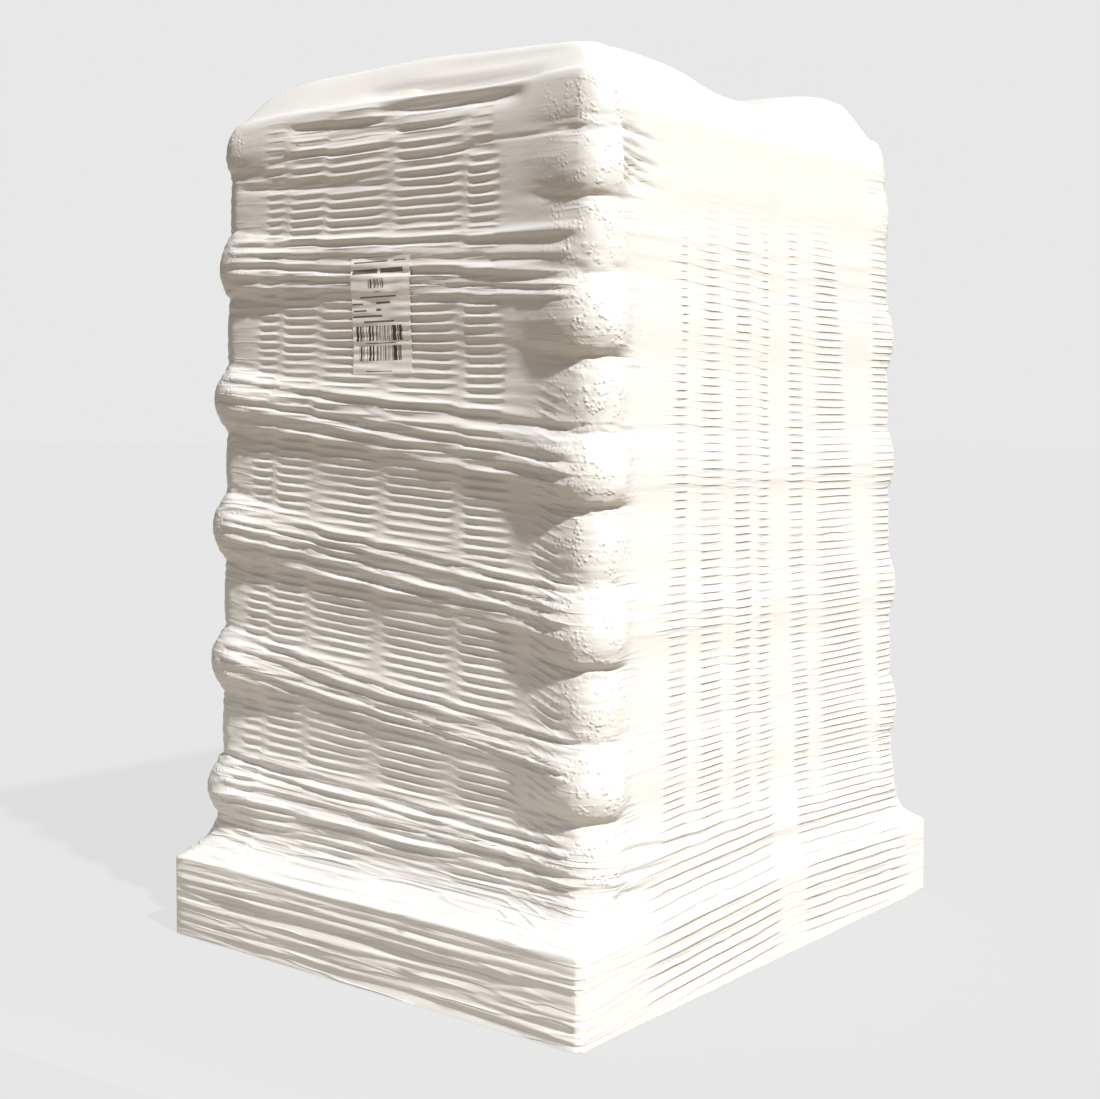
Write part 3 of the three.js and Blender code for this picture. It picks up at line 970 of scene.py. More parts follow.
@dataclass
class FilmRelief:
    """What stands out from the hood's plain skin: long folds, creases, laps and ripples.

    A place along a side is Y on the +X and -X sides, and X on the +Y and -Y sides. Pairs whose name starts
    with by_side hold a value for the +X and -X sides and one for the other two.

    Attributes:
        shape: what the film is stretched over.
        columns: the film's columns.
        rings: the plain skin.
        stack_foot: heights over which the stack's folds start, stack_top those over which they end, and
            crown_foot those over which the crown's own waves start.
        gusset: stretch of the +X and -X sides that the gusset crease keeps smooth.
        climb: how far the level lines low on those sides rise towards the crease.
        knuckles: heights on the -X side of the proud corners that long folds run to.
        fold_lines: heights on the -X side and on the +X side that one long fold joins.
        bend: waves by which the folds bend up and down, and bend_height how far.
        bundle_width: half the height of the bundle of folds at each knuckle.
        cords: places of the sharp ridges in a bundle of long folds, above and below its middle.
        cord_soft: least and most width of a ridge's upper flank, and cord_sharp those of its lower one.
        side_share: share of the folds' relief that the +X and -X sides keep.
        crumples: relief and waves of the crumpled film at the corners.
        pleats: ridges of the flare above the pallet, and pleat_waves the finer waves between them.
        lap_height: height of one of the laps that lie over each other on the skirt and the flare.
        lap_turn: share of a lap's height in which it comes out again.
        by_side_sag: how far the film sags in between the pallet's blocks.
        creases: folds that are listed one by one.
        front_bands: lanes up the +Y and -Y sides that ripple, and low_front_bands those of the lower layers.
        right_bands: lanes up the +X and -X sides that ripple, and low_right_bands the wide ones at the foot.
        ripple_step: how far the ripples of each lane lie off those of the lane before.
        ripple_wander: how far they stray up and down.
        side_shift: number of waves by which a side's random waves differ from those of the one before.
    """

    shape: LoadShape
    columns: Columns
    rings: Array
    stack_foot: Band = (0.150, 0.260)
    stack_top: Band = (1.540, 1.600)
    crown_foot: Band = (1.500, 1.580)
    gusset: Band = (0.016, 0.082)
    gusset_soft: float = 0.022
    gusset_depth: float = 0.0016
    climb: float = 0.028
    climb_reach: float = 0.6
    climb_end: Band = (0.30, 0.60)
    knuckles: tuple[float, ...] = (0.320, 0.550, 0.800, 1.050, 1.310)
    fold_lines: tuple[Band, ...] = (
        (0.000, 0.000), (0.144, 0.144), (0.320, 0.280), (0.550, 0.440), (0.800, 0.690), (1.050, 0.940),
        (1.110, 1.040), (1.170, 1.122), (1.310, 1.245), (1.350, 1.318), (1.480, 1.475), (1.720, 1.720),
    )
    fold_start: Band = (0.030, 0.075)
    bend: Waver = Waver(10, 0.40, 0.2)
    bend_height: float = 0.0015
    bundle_width: float = 0.042
    cords: tuple[float, ...] = (0.036, 0.018, 0.000, -0.020, -0.042)
    cord_seed: int = 5
    cord_shift: float = 0.006
    cord_soft: Band = (0.006, 0.010)
    cord_sharp: Band = (0.0026, 0.0036)
    cord_height: float = 0.0052
    streaks: Ridges = Ridges(Waver(11, 0.42, 0.034), 0.55, 1.6)
    streak_height: float = 0.0030
    fine_streaks: Ridges = Ridges(Waver(12, 0.26, 0.019), 0.5, 1.4)
    fine_height: float = 0.0007
    side_share: float = 0.16
    crumples: tuple[tuple[float, Waver], ...] = (
        (0.0020, Waver(13, 0.050, 0.013)), (0.0011, Waver(14, 0.022, 0.007)),
    )
    crumple_reach: float = 0.10
    pleats: Ridges = Ridges(Waver(15, 0.8, 0.030), 0.5, 1.5)
    pleat_waves: Waver = Waver(16, 0.25, 0.013)
    pleat_top: Band = (0.25, 0.42)
    lap_height: float = 0.0160
    lap_turn: float = 0.2
    lap_waves: Waver = Waver(33, 0.55, 0.06)
    lap_strengths: Waver = Waver(34, 0.24)
    by_side_skirt_lap: Band = (0.0005, 0.0036)
    by_side_flare_lap: Band = (0.0006, 0.0042)
    flare_run: Band = (0.150, 0.290)
    by_side_sag: Band = (0.003, 0.004)
    sag_waves: Waver = Waver(29, 0.12, 0.05)
    by_side_deck_edge: Band = (0.098, 0.094)
    by_side_block_place: Band = (0.530, 0.450)
    by_side_block_half: Band = (0.070, 0.050)
    creases: tuple[Crease, ...] = (
        Crease(Side.FRONT, (0.040, 1.634), (0.370, 1.626), 0.006, 0.0045),
        Crease(Side.FRONT, (-0.110, 1.604), (0.330, 1.590), 0.009, 0.0120),
        Crease(Side.FRONT, (-0.060, 1.566), (0.300, 1.557), 0.014, 0.0150),
        Crease(Side.FRONT, (-0.280, 1.552), (0.030, 1.540), 0.010, 0.0100),
        Crease(Side.FRONT, (-0.240, 1.524), (0.200, 1.526), 0.009, 0.0080),
        Crease(Side.FRONT, (-0.330, 1.500), (0.020, 1.496), 0.006, 0.0045),
        Crease(Side.FRONT, (0.020, 1.468), (0.240, 1.478), 0.005, 0.0045),
        Crease(Side.FRONT, (0.200, 1.481), (0.450, 1.483), 0.004, 0.0024),
        Crease(Side.FRONT, (-0.420, 1.454), (0.020, 1.430), 0.006, 0.0050),
        Crease(Side.FRONT, (-0.440, 0.124), (0.440, 0.126), 0.004, 0.0034),
        Crease(Side.FRONT, (-0.450, 0.108), (0.430, 0.109), 0.004, 0.0034),
        Crease(Side.FRONT, (-0.380, 0.090), (0.420, 0.086), 0.007, 0.0080),
        Crease(Side.RIGHT, (-0.600, 0.300), (-0.200, 0.272), 0.006, 0.0060),
        Crease(Side.RIGHT, (-0.590, 0.262), (-0.330, 0.246), 0.005, 0.0050),
        Crease(Side.RIGHT, (-0.590, 0.236), (-0.380, 0.216), 0.005, 0.0044),
        Crease(Side.RIGHT, (-0.540, 1.502), (-0.360, 1.474), 0.0044, 0.0070),
        Crease(Side.RIGHT, (-0.536, 1.488), (-0.390, 1.452), 0.0044, 0.0084),
        Crease(Side.RIGHT, (-0.540, 1.472), (-0.350, 1.428), 0.0044, 0.0092),
        Crease(Side.RIGHT, (-0.530, 1.458), (-0.380, 1.412), 0.0044, 0.0090),
        Crease(Side.RIGHT, (-0.536, 1.444), (-0.360, 1.392), 0.0044, 0.0084),
        Crease(Side.RIGHT, (-0.530, 1.430), (-0.400, 1.386), 0.0044, 0.0070),
    )
    crease_start: Band = (0.62, 0.74)
    crown_folds: Waver = Waver(18, 0.5, 0.05)
    crown_fold_height: float = 0.0034
    crown_waves: Waver = Waver(19, 0.22, 0.22)
    crown_wave_height: float = 0.0022
    front_bands: tuple[Lane, ...] = (
        Lane((-0.325, -0.278), (-0.390, -0.330)),
        Lane((-0.262, -0.170), (-0.326, -0.222)),
        Lane((-0.167, -0.010), (-0.212, -0.038)),
        Lane((0.005, 0.172), (-0.022, 0.156)),
        Lane((0.188, 0.246), (0.170, 0.328)),
    )
    low_front_bands: tuple[Lane, ...] = (Lane((0.345, 0.415), (0.335, 0.408)),)
    right_bands: tuple[Lane, ...] = (
        Lane((-0.270, -0.262), (-0.345, -0.272)),
        Lane((-0.207, -0.163), (-0.240, -0.158)),
        Lane((-0.108, -0.058), (-0.120, -0.060)),
        Lane((-0.022, 0.006), (-0.035, 0.010)),
        Lane((0.066, 0.108), (0.090, 0.152)),
        Lane((0.166, 0.232), (0.186, 0.410)),
        Lane((0.395, 0.478), (0.430, 0.494)),
    )
    low_right_bands: tuple[Lane, ...] = (
        Lane((-0.440, 0.012), (-0.440, 0.012)),
        Lane((0.086, 0.500), (0.086, 0.530)),
    )
    ripple_step: float = 0.0059
    ripple_wander: float = 0.0016
    wander_waves: Waver = Waver(17, 0.18, 0.09)
    fitful_waves: Waver = Waver(20, 0.12, 0.07)
    pellet_reach: float = 0.085
    side_shift: float = 7.31
    x: Array = field(init=False)
    y: Array = field(init=False)
    z: Array = field(init=False)
    even: Array = field(init=False)
    along: Array = field(init=False)
    turned: Array = field(init=False)
    facing_y: Array = field(init=False)
    layer: Array = field(init=False)
    on_stack: Array = field(init=False)
    on_crown: Array = field(init=False)
    level: Array = field(init=False)
    run: Array = field(init=False)
    middle_run: Array = field(init=False)
    bent_run: Array = field(init=False)
    bundle: Array = field(init=False)
    knuckle_foot: Array = field(init=False)

    def __post_init__(self) -> None:
        """Works out where the points lie along the sides, in the stack and among the folds."""
        columns = self.columns
        self.x, self.y, self.z = np.moveaxis(self.rings, -1, 0)
        self.even = columns.side % 2 == 0
        self.along = np.where(self.even, self.y, self.x)
        self.turned = columns.side * self.side_shift
        self.facing_y = np.abs(columns.normal[:, 1])
        self.layer = self.shape.layer_at(self.z) + columns.phase
        self.on_stack = smooth_step(*self.stack_foot, self.z) * (1 - smooth_step(*self.stack_top, self.z))
        self.on_crown = smooth_step(*self.crown_foot, self.z)
        climb = self.climb * (1 - np.abs(self.along - np.mean(self.gusset)) / self.climb_reach) * self.even
        self.level = self.z - climb * (1 - smooth_step(*self.climb_end, self.z))
        self._follow_folds()
        self.bent_run = self.run + self.bend_height * self._along_side(self.bend, self.run)
        self.bundle = sum(hill(self.run - knuckle, self.bundle_width) for knuckle in self.knuckles)
        self.knuckle_foot = window((self.layer + 0.3) % 1, (0.0, 0.55), 0.2)

    def _follow_folds(self) -> None:
        """Follows the long folds, which fan out between one side's proud corners and the other's.

        Each point's run is the height on the -X side of the fold that passes through it, and its middle run
        is that fold's height halfway.
        """
        left, right = np.array(self.fold_lines).T
        self.run, self.middle_run = np.empty_like(self.z), np.empty_like(self.z)
        for j, phase in enumerate(self.columns.phase):
            here = left + (right - left) * (1 + phase)
            self.run[:, j] = np.interp(self.level[:, j], here, left)
            self.middle_run[:, j] = np.interp(self.level[:, j], here, (left + right) / 2)

    def _by_side(self, pair: tuple) -> Array:
        """Picks a pair's first value on the +X and -X sides, and its second on the others."""
        return np.where(self.even, *pair)

    def _along_side(self, waves: Waver | Ridges, across: Array | float) -> Array:
        """Reads waves that run along the sides, other ones on each side."""
        return waves.at(self.along, across, self.turned)

    def height(self) -> Array:
        """Adds up what the mesh itself shows, in metres outwards for each point."""
        relief = self._folds() + self._crumple() + self._pleats() + self._laps() + self._skirt_sag()
        out = np.maximum(np.abs(self.x) / self.shape.half_x, np.abs(self.y) / self.shape.half_y)
        off_middle = smooth_step(*self.crease_start, out)
        for crease in self.creases:
            relief += off_middle * crease.relief(self.columns.side, self.along, self.z)
        folds = self.crown_fold_height * self.crown_folds.at(self.x, self.y)
        relief += self.on_crown * folds * smooth_step(0.2, 0.5, np.abs(self.y))
        relief += self.on_crown * self.crown_wave_height * self.crown_waves.at(self.x, self.y)
        crease = window(self.along, self.gusset, self.gusset_soft) * self.even
        return relief - crease * self.gusset_depth * (1 - self.on_crown)

    def _folds(self) -> Array:
        """Long folds between the proud corners: sharp ridges in bundles, and softer and finer streaks."""
        dice = np.random.default_rng(self.cord_seed)
        cords = np.zeros_like(self.z)
        for knuckle in self.knuckles:
            for place, offset in enumerate(self.cords):
                middle = knuckle + offset + dice.uniform(-self.cord_shift, self.cord_shift)
                soft_side, sharp_side = dice.uniform(*self.cord_soft), dice.uniform(*self.cord_sharp)
                strength = 0.95 + 0.55 * self._along_side(Waver(21 + place, 0.32), knuckle * 37)
                stray = 0.001 * self._along_side(Waver(41 + place, 0.5), knuckle * 17)
                away = self.bent_run - middle - stray
                ridge = hill(away, np.where(away > 0, soft_side, sharp_side))
                cords = np.maximum(cords, np.clip(strength, 0, 1.3) * ridge)
        streaks = self._along_side(self.streaks, self.bent_run)
        fine = self._along_side(self.fine_streaks, self.bent_run)
        smooth_patch = smooth_step(0.24, 0.32, self.along) * smooth_step(1.43, 1.50, self.z)
        smooth = np.maximum(smooth_patch, smooth_step(1.47, 1.52, self.z))
        share = self.side_share + (1 - self.side_share) * self.facing_y
        off_corner = smooth_step(*self.fold_start, self.columns.from_corner)
        return self.on_stack * off_corner * share * (1 - smooth) * (
            self.cord_height * cords
            + self.streak_height * streaks * (0.25 + self.bundle)
            + self.fine_height * fine * (0.55 + 0.6 * self.bundle)
        )

    def _crumple(self) -> Array:
        """Crumpled film at the corners, most at the foot of each bulge."""
        from_corner = self.columns.from_corner
        crumple = sum(height * waves.at(from_corner, self.z, self.turned) for height, waves in self.crumples)
        share = 0.45 + 0.9 * self.knuckle_foot
        return self.on_stack * hill(from_corner, self.crumple_reach) * crumple * share

    def _pleats(self) -> Array:
        """Pleats of the flare above the pallet."""
        low = 1 - smooth_step(*self.pleat_top, self.z)
        ridges = (0.0006 + 0.0020 * self.facing_y) * self._along_side(self.pleats, self.level)
        between = 0.0010 * self.facing_y * self._along_side(self.pleat_waves, self.level)
        return low * smooth_step(0.015, 0.06, self.columns.from_corner) * (ridges + between)

    def _laps(self) -> Array:
        """Laps of film that lie over each other on the skirt and the flare."""
        laps = self.level / self.lap_height + 0.35 * self._along_side(self.lap_waves, self.z)
        lap = laps % 1.0
        strength = 0.75 + 0.6 * self._along_side(self.lap_strengths, np.floor(laps) * 7.3)
        out = np.where(lap > self.lap_turn, (1 - lap) / (1 - self.lap_turn), lap / self.lap_turn)
        on_skirt = (1 - smooth_step(0.125, 0.142, self.z)) * self._by_side(self.by_side_skirt_lap)
        on_flare = window(self.z, self.flare_run, 0.020) * self._by_side(self.by_side_flare_lap)
        off_corner = smooth_step(0.010, 0.05, self.columns.from_corner)
        return (on_skirt + on_flare) * off_corner * np.clip(strength, 0.15, 1.2) * out

    def _skirt_sag(self) -> Array:
        """Film that sags in between the pallet's blocks, under the deck."""
        deck_edge = self._by_side(self.by_side_deck_edge)
        block_place = self._by_side(self.by_side_block_place)
        along = np.abs(self.along)
        away = np.minimum(along, np.abs(along - block_place)) - self._by_side(self.by_side_block_half)
        drop = smooth_step(deck_edge, deck_edge - 0.012, self.z)
        drop = drop * (0.12 + 0.88 * np.clip(self.z / deck_edge, 0, 1))
        uneven = 0.8 + 0.4 * self.sag_waves.at(self.along, self.z)
        between = smooth_step(-0.02, 0.080, away) * (along < block_place)
        return -self._by_side(self.by_side_sag) * uneven * drop * between

    def stored(self) -> dict[str, Array]:
        """Works out what the ripple nodes and the material read.

        Returns:
            By name, a number for each point: the way the ripples and the folds run, in metres, and the shares
            of ripples, pellets and thin ridges.
        """
        ripple = self._ripples()
        return {
            "ripple_run": self._ripple_run(),
            "ripple_depth": ripple * self._by_side((0.3, 1.1)),
            "ripple_share": ripple * self._by_side((1.35, 1.0)),
            "fold_run": self.bent_run,
            "pellets": self._pellets(),
            "crinkles": self._crinkles(),
        }

    def _ripples(self) -> Array:
        """Share of ripples: full inside the lanes, fitful, and weaker across the bundles of folds."""
        z = self.z
        lanes = [(lane, ~self.even, 1.0) for lane in self.front_bands]
        lanes += [(lane, ~self.even, 0.7 * (1 - smooth_step(0.98, 1.10, z))) for lane in self.low_front_bands]
        lanes += [(lane, self.even, 1 - smooth_step(1.25, 1.44, z)) for lane in self.right_bands]
        lanes += [(lane, self.even, 1 - smooth_step(0.22, 0.34, z)) for lane in self.low_right_bands]
        ripple = np.zeros_like(z)
        for lane, on_side, faded in lanes:
            ripple = np.maximum(ripple, lane.share(self.along, z) * on_side * faded)
        at_start = (self.columns.stop < 0) & (self.columns.side != Side.FRONT.value)
        ripple *= np.where(at_start, smooth_step(0.066, 0.100, self.columns.from_corner), 1.0)
        fitful = 0.95 + 0.6 * self._along_side(self.fitful_waves, self.middle_run)
        fitful = 1 + (np.clip(fitful, 0.35, 1.3) - 1) * self._by_side((smooth_step(0.20, 0.40, z), 1.0))
        foot = self._by_side((smooth_step(0.0, 0.04, z), smooth_step(0.155, 0.185, z)))
        across_bundle = 1 - 0.3 * np.clip(self.bundle, 0, 1) * ~self.even
        return ripple * fitful * foot * (1 - smooth_step(*self.stack_top, z)) * across_bundle

    def _ripple_run(self) -> Array:
        """Height that the ripples follow, which shifts by a step from lane to lane."""
        stagger = np.zeros_like(self.z)
        for bands, on_side in ((self.front_bands, ~self.even), (self.right_bands, self.even)):
            for lane, after in zip(bands, bands[1:]):
                between = smooth_step(lane.edges(self.z)[1], after.edges(self.z)[0], self.along)
                stagger += self.ripple_step * between * on_side
        stagger *= self._by_side((smooth_step(0.20, 0.34, self.z), 1.0))
        wander = self.ripple_wander * self._along_side(self.wander_waves, self.middle_run)
        leaning = 0.30 * np.maximum(self.along - 0.30, 0) * ~self.even
        slower = 0.34 * np.minimum(self.level - 0.30, 0)
        run = self._by_side((1.16 * self.level - slower, 0.55 * self.z + 0.45 * self.middle_run + leaning))
        return run + stagger + wander

    def _pellets(self) -> Array:
        """Share of pressed pellets: most on the proud bulges, and on both kinds at the near corner."""
        swell = np.sin(np.pi * self.layer)
        swell = np.where(self.columns.corner_number == Side.FRONT.value, np.abs(swell), swell)
        near = self.on_stack * hill(self.columns.from_corner, self.pellet_reach)
        return near * np.clip(0.35 + 1.1 * swell, 0.1, 1)

    def _crinkles(self) -> Array:
        """Share of thin ridges: most in the bundles of folds, at the corners and on the skirt."""
        z, from_corner = self.z, self.columns.from_corner
        at_corner = smooth_step(0.020, 0.045, from_corner) * (1 - smooth_step(0.085, 0.125, from_corner))
        near_ends = np.maximum(smooth_step(0.22, 0.30, self.along), smooth_step(-0.30, -0.36, self.along))
        taut = near_ends * smooth_step(1.12, 1.18, z)
        crinkles = 0.03 + (0.19 + 0.45 * self.bundle) * self.facing_y * (1 - taut)
        crinkles = self.on_stack * (crinkles + at_corner * (0.15 + 0.45 * self.knuckle_foot))
        crinkles += (0.35 + 0.65 * self.facing_y) * (1 - smooth_step(0.14, 0.30, z))
        return crinkles + 0.4 * self.facing_y * window(z, (0.146, 0.300), 0.020)


@dataclass
class FilmHood:
    """The stretch hood: one tube of film, sealed across its top and drawn down over the load to the floor.

    Attributes:
        shape: what it is stretched over.
        side_step: spacing of the mesh's columns along the sides, and corner_facets their steps in a corner.
        ring_step: spacing of the mesh's rings up the stack before it is thinned, and skirt_step round the
            pallet.
        hem: height of the hood's lower edge.
        foot_reach: how far the film still leans out at the stack's foot, over the heights foot_run.
        shoulder_start: share of the top layer's height at which the shoulder starts.
        crown_start: size of the crown's first ring beside the shoulder's last one, and crown_end that of its
            last, with crown_step between them. The shoulder runs towards a ring of crown_guide.
        ripple_pitch: height of one ripple, ripple_depth how far it stands out, ripple_sharpness more than 1
            for thin crests and wide troughs, and ripple_middle the share of its relief that the skin lies at.
        most_triangles: how many triangles the finished mesh has.
    """

    shape: LoadShape
    side_step: float = 0.016
    corner_facets: int = 16
    ring_step: float = 0.0030
    skirt_step: float = 0.004
    hem: float = 0.002
    foot_reach: float = 0.009
    foot_run: Band = (0.225, 0.330)
    shoulder_start: float = 0.3
    crown_start: float = 0.91
    crown_guide: float = 0.84
    crown_end: float = 0.02
    crown_step: float = 0.024
    ripple_pitch: float = 0.017
    ripple_depth: float = 0.0030
    ripple_sharpness: float = 1.9
    ripple_middle: float = 0.55
    most_triangles: int = 195_000

    def build(self, finish: Material) -> Piece:
        """Builds the hood.

        Args:
            finish: the film's material.

        Returns:
            The finished piece.
        """
        shape = self.shape
        columns = Columns(self.side_step, self.corner_facets, shape.flats, shape.corner_radius)
        plain = self._rings(columns)
        relief = FilmRelief(shape, columns, plain)
        rings = plain + self._normals(plain) * relief.height()[..., None]
        tip = np.array([[0.0, 0.0, rings[-1, :, 2].mean()]])
        points = np.concatenate((rings.reshape(-1, 3), tip))
        piece = mesh_piece("stretch_hood", points, self._faces(*rings.shape[:2]), finish)
        for name, values in relief.stored().items():
            set_attribute(piece, name, np.append(values.ravel(), 0.0))
        self._add_ripples(piece, finish)
        thin = piece.modifiers.new("thin", "DECIMATE")
        thin.ratio = min(1.0, self.most_triangles / (2 * len(piece.data.polygons)))
        settle(piece)
        return hand_over(piece, "hood_film", "film_hood")

    def _rings(self, columns: Columns) -> Array:
        """Lists the plain skin's rings from the hem to the crown.

        Args:
            columns: the film's columns.

        Returns:
            Points, for each ring and column.
        """
        deck, foot = self.shape.floor, self.shape.levels[1]
        skirt_end = deck - self.skirt_step
        skirt = [self._pallet_ring(columns, z, 0.0) for z in np.arange(self.hem, skirt_end, self.skirt_step)]
        keys = [self._pallet_ring(columns, deck - 0.012, 0.0), self._pallet_ring(columns, skirt_end, 0.0)]
        for rise, share in self.shape.flare:
            keys.append(self._pallet_ring(columns, deck + rise + self.shape.skin, share))
        keys += [self._stack_rings(columns, foot)[0], self._stack_rings(columns, foot + 0.020)[0]]
        flare = through_rings(keys, 6)
        top_floor = self.shape.levels[-2]
        shoulder_foot = top_floor + self.shoulder_start * (self.shape.top - top_floor)
        stack = self._stack_rings(columns, np.arange(foot, shoulder_foot - self.ring_step, self.ring_step))
        shoulders = self._shoulders(columns)
        keys = [self._stack_rings(columns, z)[0] for z in (shoulder_foot - 0.030, shoulder_foot)] + shoulders
        keys += [self._crown_ring(shoulders[-1], scale) for scale in (self.crown_start, self.crown_guide)]
        shoulder = through_rings(keys, 7)
        scales = np.arange(self.crown_start, self.crown_end, -self.crown_step)
        crown = np.array([self._crown_ring(shoulders[-1], scale) for scale in scales])
        return np.concatenate((skirt, flare, stack, shoulder, crown))

    def _pallet_ring(self, columns: Columns, z: float, share: float) -> Array:
        """One ring round the pallet, or in the flare above it with a share of the stack's inset.

        Args:
            columns: the film's columns.
            z: height of the ring.
            share: of the inset, 0 round the pallet.

        Returns:
            Points, for each column.
        """
        shape = self.shape
        radius = shape.pallet_radius + (shape.corner_radius - shape.pallet_radius) * share
        inset_x, inset_y = shape.insets_low
        halves = shape.half_x - share * inset_x, shape.half_y - share * inset_y
        flat = shape.outline(columns, halves, radius, np.full(len(columns.stop), shape.film_room))
        return np.column_stack((flat, np.full(len(flat), z)))

    def _stack_rings(
        self, columns: Columns, z: Array | float, inward: Array | float = 0.0, layer: float | None = None
    ) -> Array:
        """Rings round the stack.

        Args:
            columns: the film's columns.
            z: heights of the rings.
            inward: how far they stand in from the film's usual place.
            layer: running layer number, if not the heights' own.

        Returns:
            Points, for each ring and column.
        """
        shape = self.shape
        z = np.atleast_1d(z)[:, None]
        layer = shape.layer_at(z) if layer is None else layer
        out = shape.push(columns, layer) - inward + self.foot_reach * (1 - smooth_step(*self.foot_run, z))
        flat = shape.outline(columns, shape.halves(z), shape.corner_radius, out)
        return np.concatenate((flat, np.broadcast_to(z, flat.shape[:2])[..., None]), -1)

    def _shoulders(self, columns: Columns) -> list[Array]:
        """Rings round the stack's upper edge, squarer on the +Y and -Y sides except near -X.

        Args:
            columns: the film's columns.

        Returns:
            The rings, from the lowest up.
        """
        shape = self.shape
        x = self._stack_rings(columns, shape.top)[0][:, 0]
        facing_y = np.abs(columns.normal[:, 1]) * (1 - smooth_step(0.26, 0.46, -x))
        rings = []
        for side_key, front_key in zip(shape.shoulders, shape.front_shoulders):
            drop, inset = (side + (front - side) * facing_y for side, front in zip(side_key, front_key))
            ring = self._stack_rings(columns, shape.top, inset, LAYER_COUNT - 0.5)[0]
            ring[:, 2] = shape.top + shape.skin + drop
            rings.append(ring)
        return rings

    def _crown_ring(self, brim: Array, scale: float) -> Array:
        """The last shoulder ring, drawn in and lifted onto the crown, and level near its middle.

        Args:
            brim: the last shoulder ring.
            scale: size of the new ring beside it.

        Returns:
            The new ring.
        """
        ring = brim * (scale, scale, 1)
        level = brim[:, 2].mean()
        ring[:, 2] = level + (ring[:, 2] - level) * smooth_step(0.1, 0.9, scale)
        ring[:, 2] += self.shape.rise(ring[:, 0], ring[:, 1])
        return ring

    @staticmethod
    def _normals(rings: Array) -> Array:
        """Outward unit normals of the skin's points.

        Args:
            rings: the skin.

        Returns:
            A normal for each point.
        """
        up = np.gradient(rings, axis=0)
        round_it = np.roll(rings, -1, axis=1) - np.roll(rings, 1, axis=1)
        normal = np.cross(round_it, up)
        return normal / np.maximum(np.linalg.norm(normal, axis=-1, keepdims=True), 1e-9)

    @staticmethod
    def _faces(ring_count: int, column_count: int) -> list:
        """Quads between the rings and a fan at the top.

        Args:
            ring_count: how many rings there are.
            column_count: how many points each has.

        Returns:
            Lists of point numbers. The tip of the fan is the last point.
        """
        i, j = np.meshgrid(np.arange(ring_count - 1), np.arange(column_count), indexing="ij")
        after = (j + 1) % column_count
        quads = np.stack((i, i, i + 1, i + 1), -1) * column_count + np.stack((j, after, after, j), -1)
        last = (ring_count - 1) * column_count
        tip = ring_count * column_count
        fan = [[last + k, last + (k + 1) % column_count, tip] for k in range(column_count)]
        return quads.reshape(-1, 4).tolist() + fan

    def _add_ripples(self, piece: Piece, finish: Material) -> None:
        """Adds the nodes that raise rows of level ripples on the banded stretches of film.

        Args:
            piece: the hood.
            finish: the film's material.
        """
        tree = bpy.data.node_groups.new("film_ripples", "GeometryNodeTree")
        sockets = {}
        for name, kind, value in (
            ("Film", "NodeSocketGeometry", None),
            ("Pitch", "NodeSocketFloat", self.ripple_pitch),
            ("Depth", "NodeSocketFloat", self.ripple_depth),
            ("Sharpness", "NodeSocketFloat", self.ripple_sharpness),
            ("Finish", "NodeSocketMaterial", finish),
        ):
            sockets[name] = (tree.interface.new_socket(name, in_out="INPUT", socket_type=kind), value)
        tree.interface.new_socket("Film", in_out="OUTPUT", socket_type="NodeSocketGeometry")
        source = add_node(tree, "NodeGroupInput")
        run, share = (
            add_node(tree, NAMED_ATTRIBUTE, {"Name": name}, data_type="FLOAT").outputs["Attribute"]
            for name in ("ripple_run", "ripple_depth")
        )
        height = run
        for operation, others in (
            ("DIVIDE", {1: source.outputs["Pitch"]}),
            ("MULTIPLY", {1: 2 * math.pi}),
            ("SINE", {}),
            ("MULTIPLY_ADD", {1: 0.5, 2: 0.5}),
            ("POWER", {1: source.outputs["Sharpness"]}),
            ("SUBTRACT", {1: self.ripple_middle}),
            ("MULTIPLY", {1: source.outputs["Depth"]}),
            ("MULTIPLY", {1: share}),
        ):
            height = add_node(tree, MATH, {0: height, **others}, operation=operation).outputs[0]
        normal = add_node(tree, "GeometryNodeInputNormal")
        offset = add_node(tree, VECTOR_MATH, {0: normal, "Scale": height}, operation="SCALE")
        lifted = {"Geometry": source.outputs["Film"], "Offset": offset}
        moved = add_node(tree, "GeometryNodeSetPosition", lifted)
        real = add_node(tree, "GeometryNodeRealizeInstances", {"Geometry": moved})
        dressed = {"Geometry": real, "Material": source.outputs["Finish"]}
        add_node(tree, "NodeGroupOutput", {"Film": add_node(tree, "GeometryNodeSetMaterial", dressed)})
        modifier = piece.modifiers.new("ripples", "NODES")
        modifier.node_group = tree
        for socket, value in sockets.values():
            if value is not None:
                modifier[socket.identifier] = value


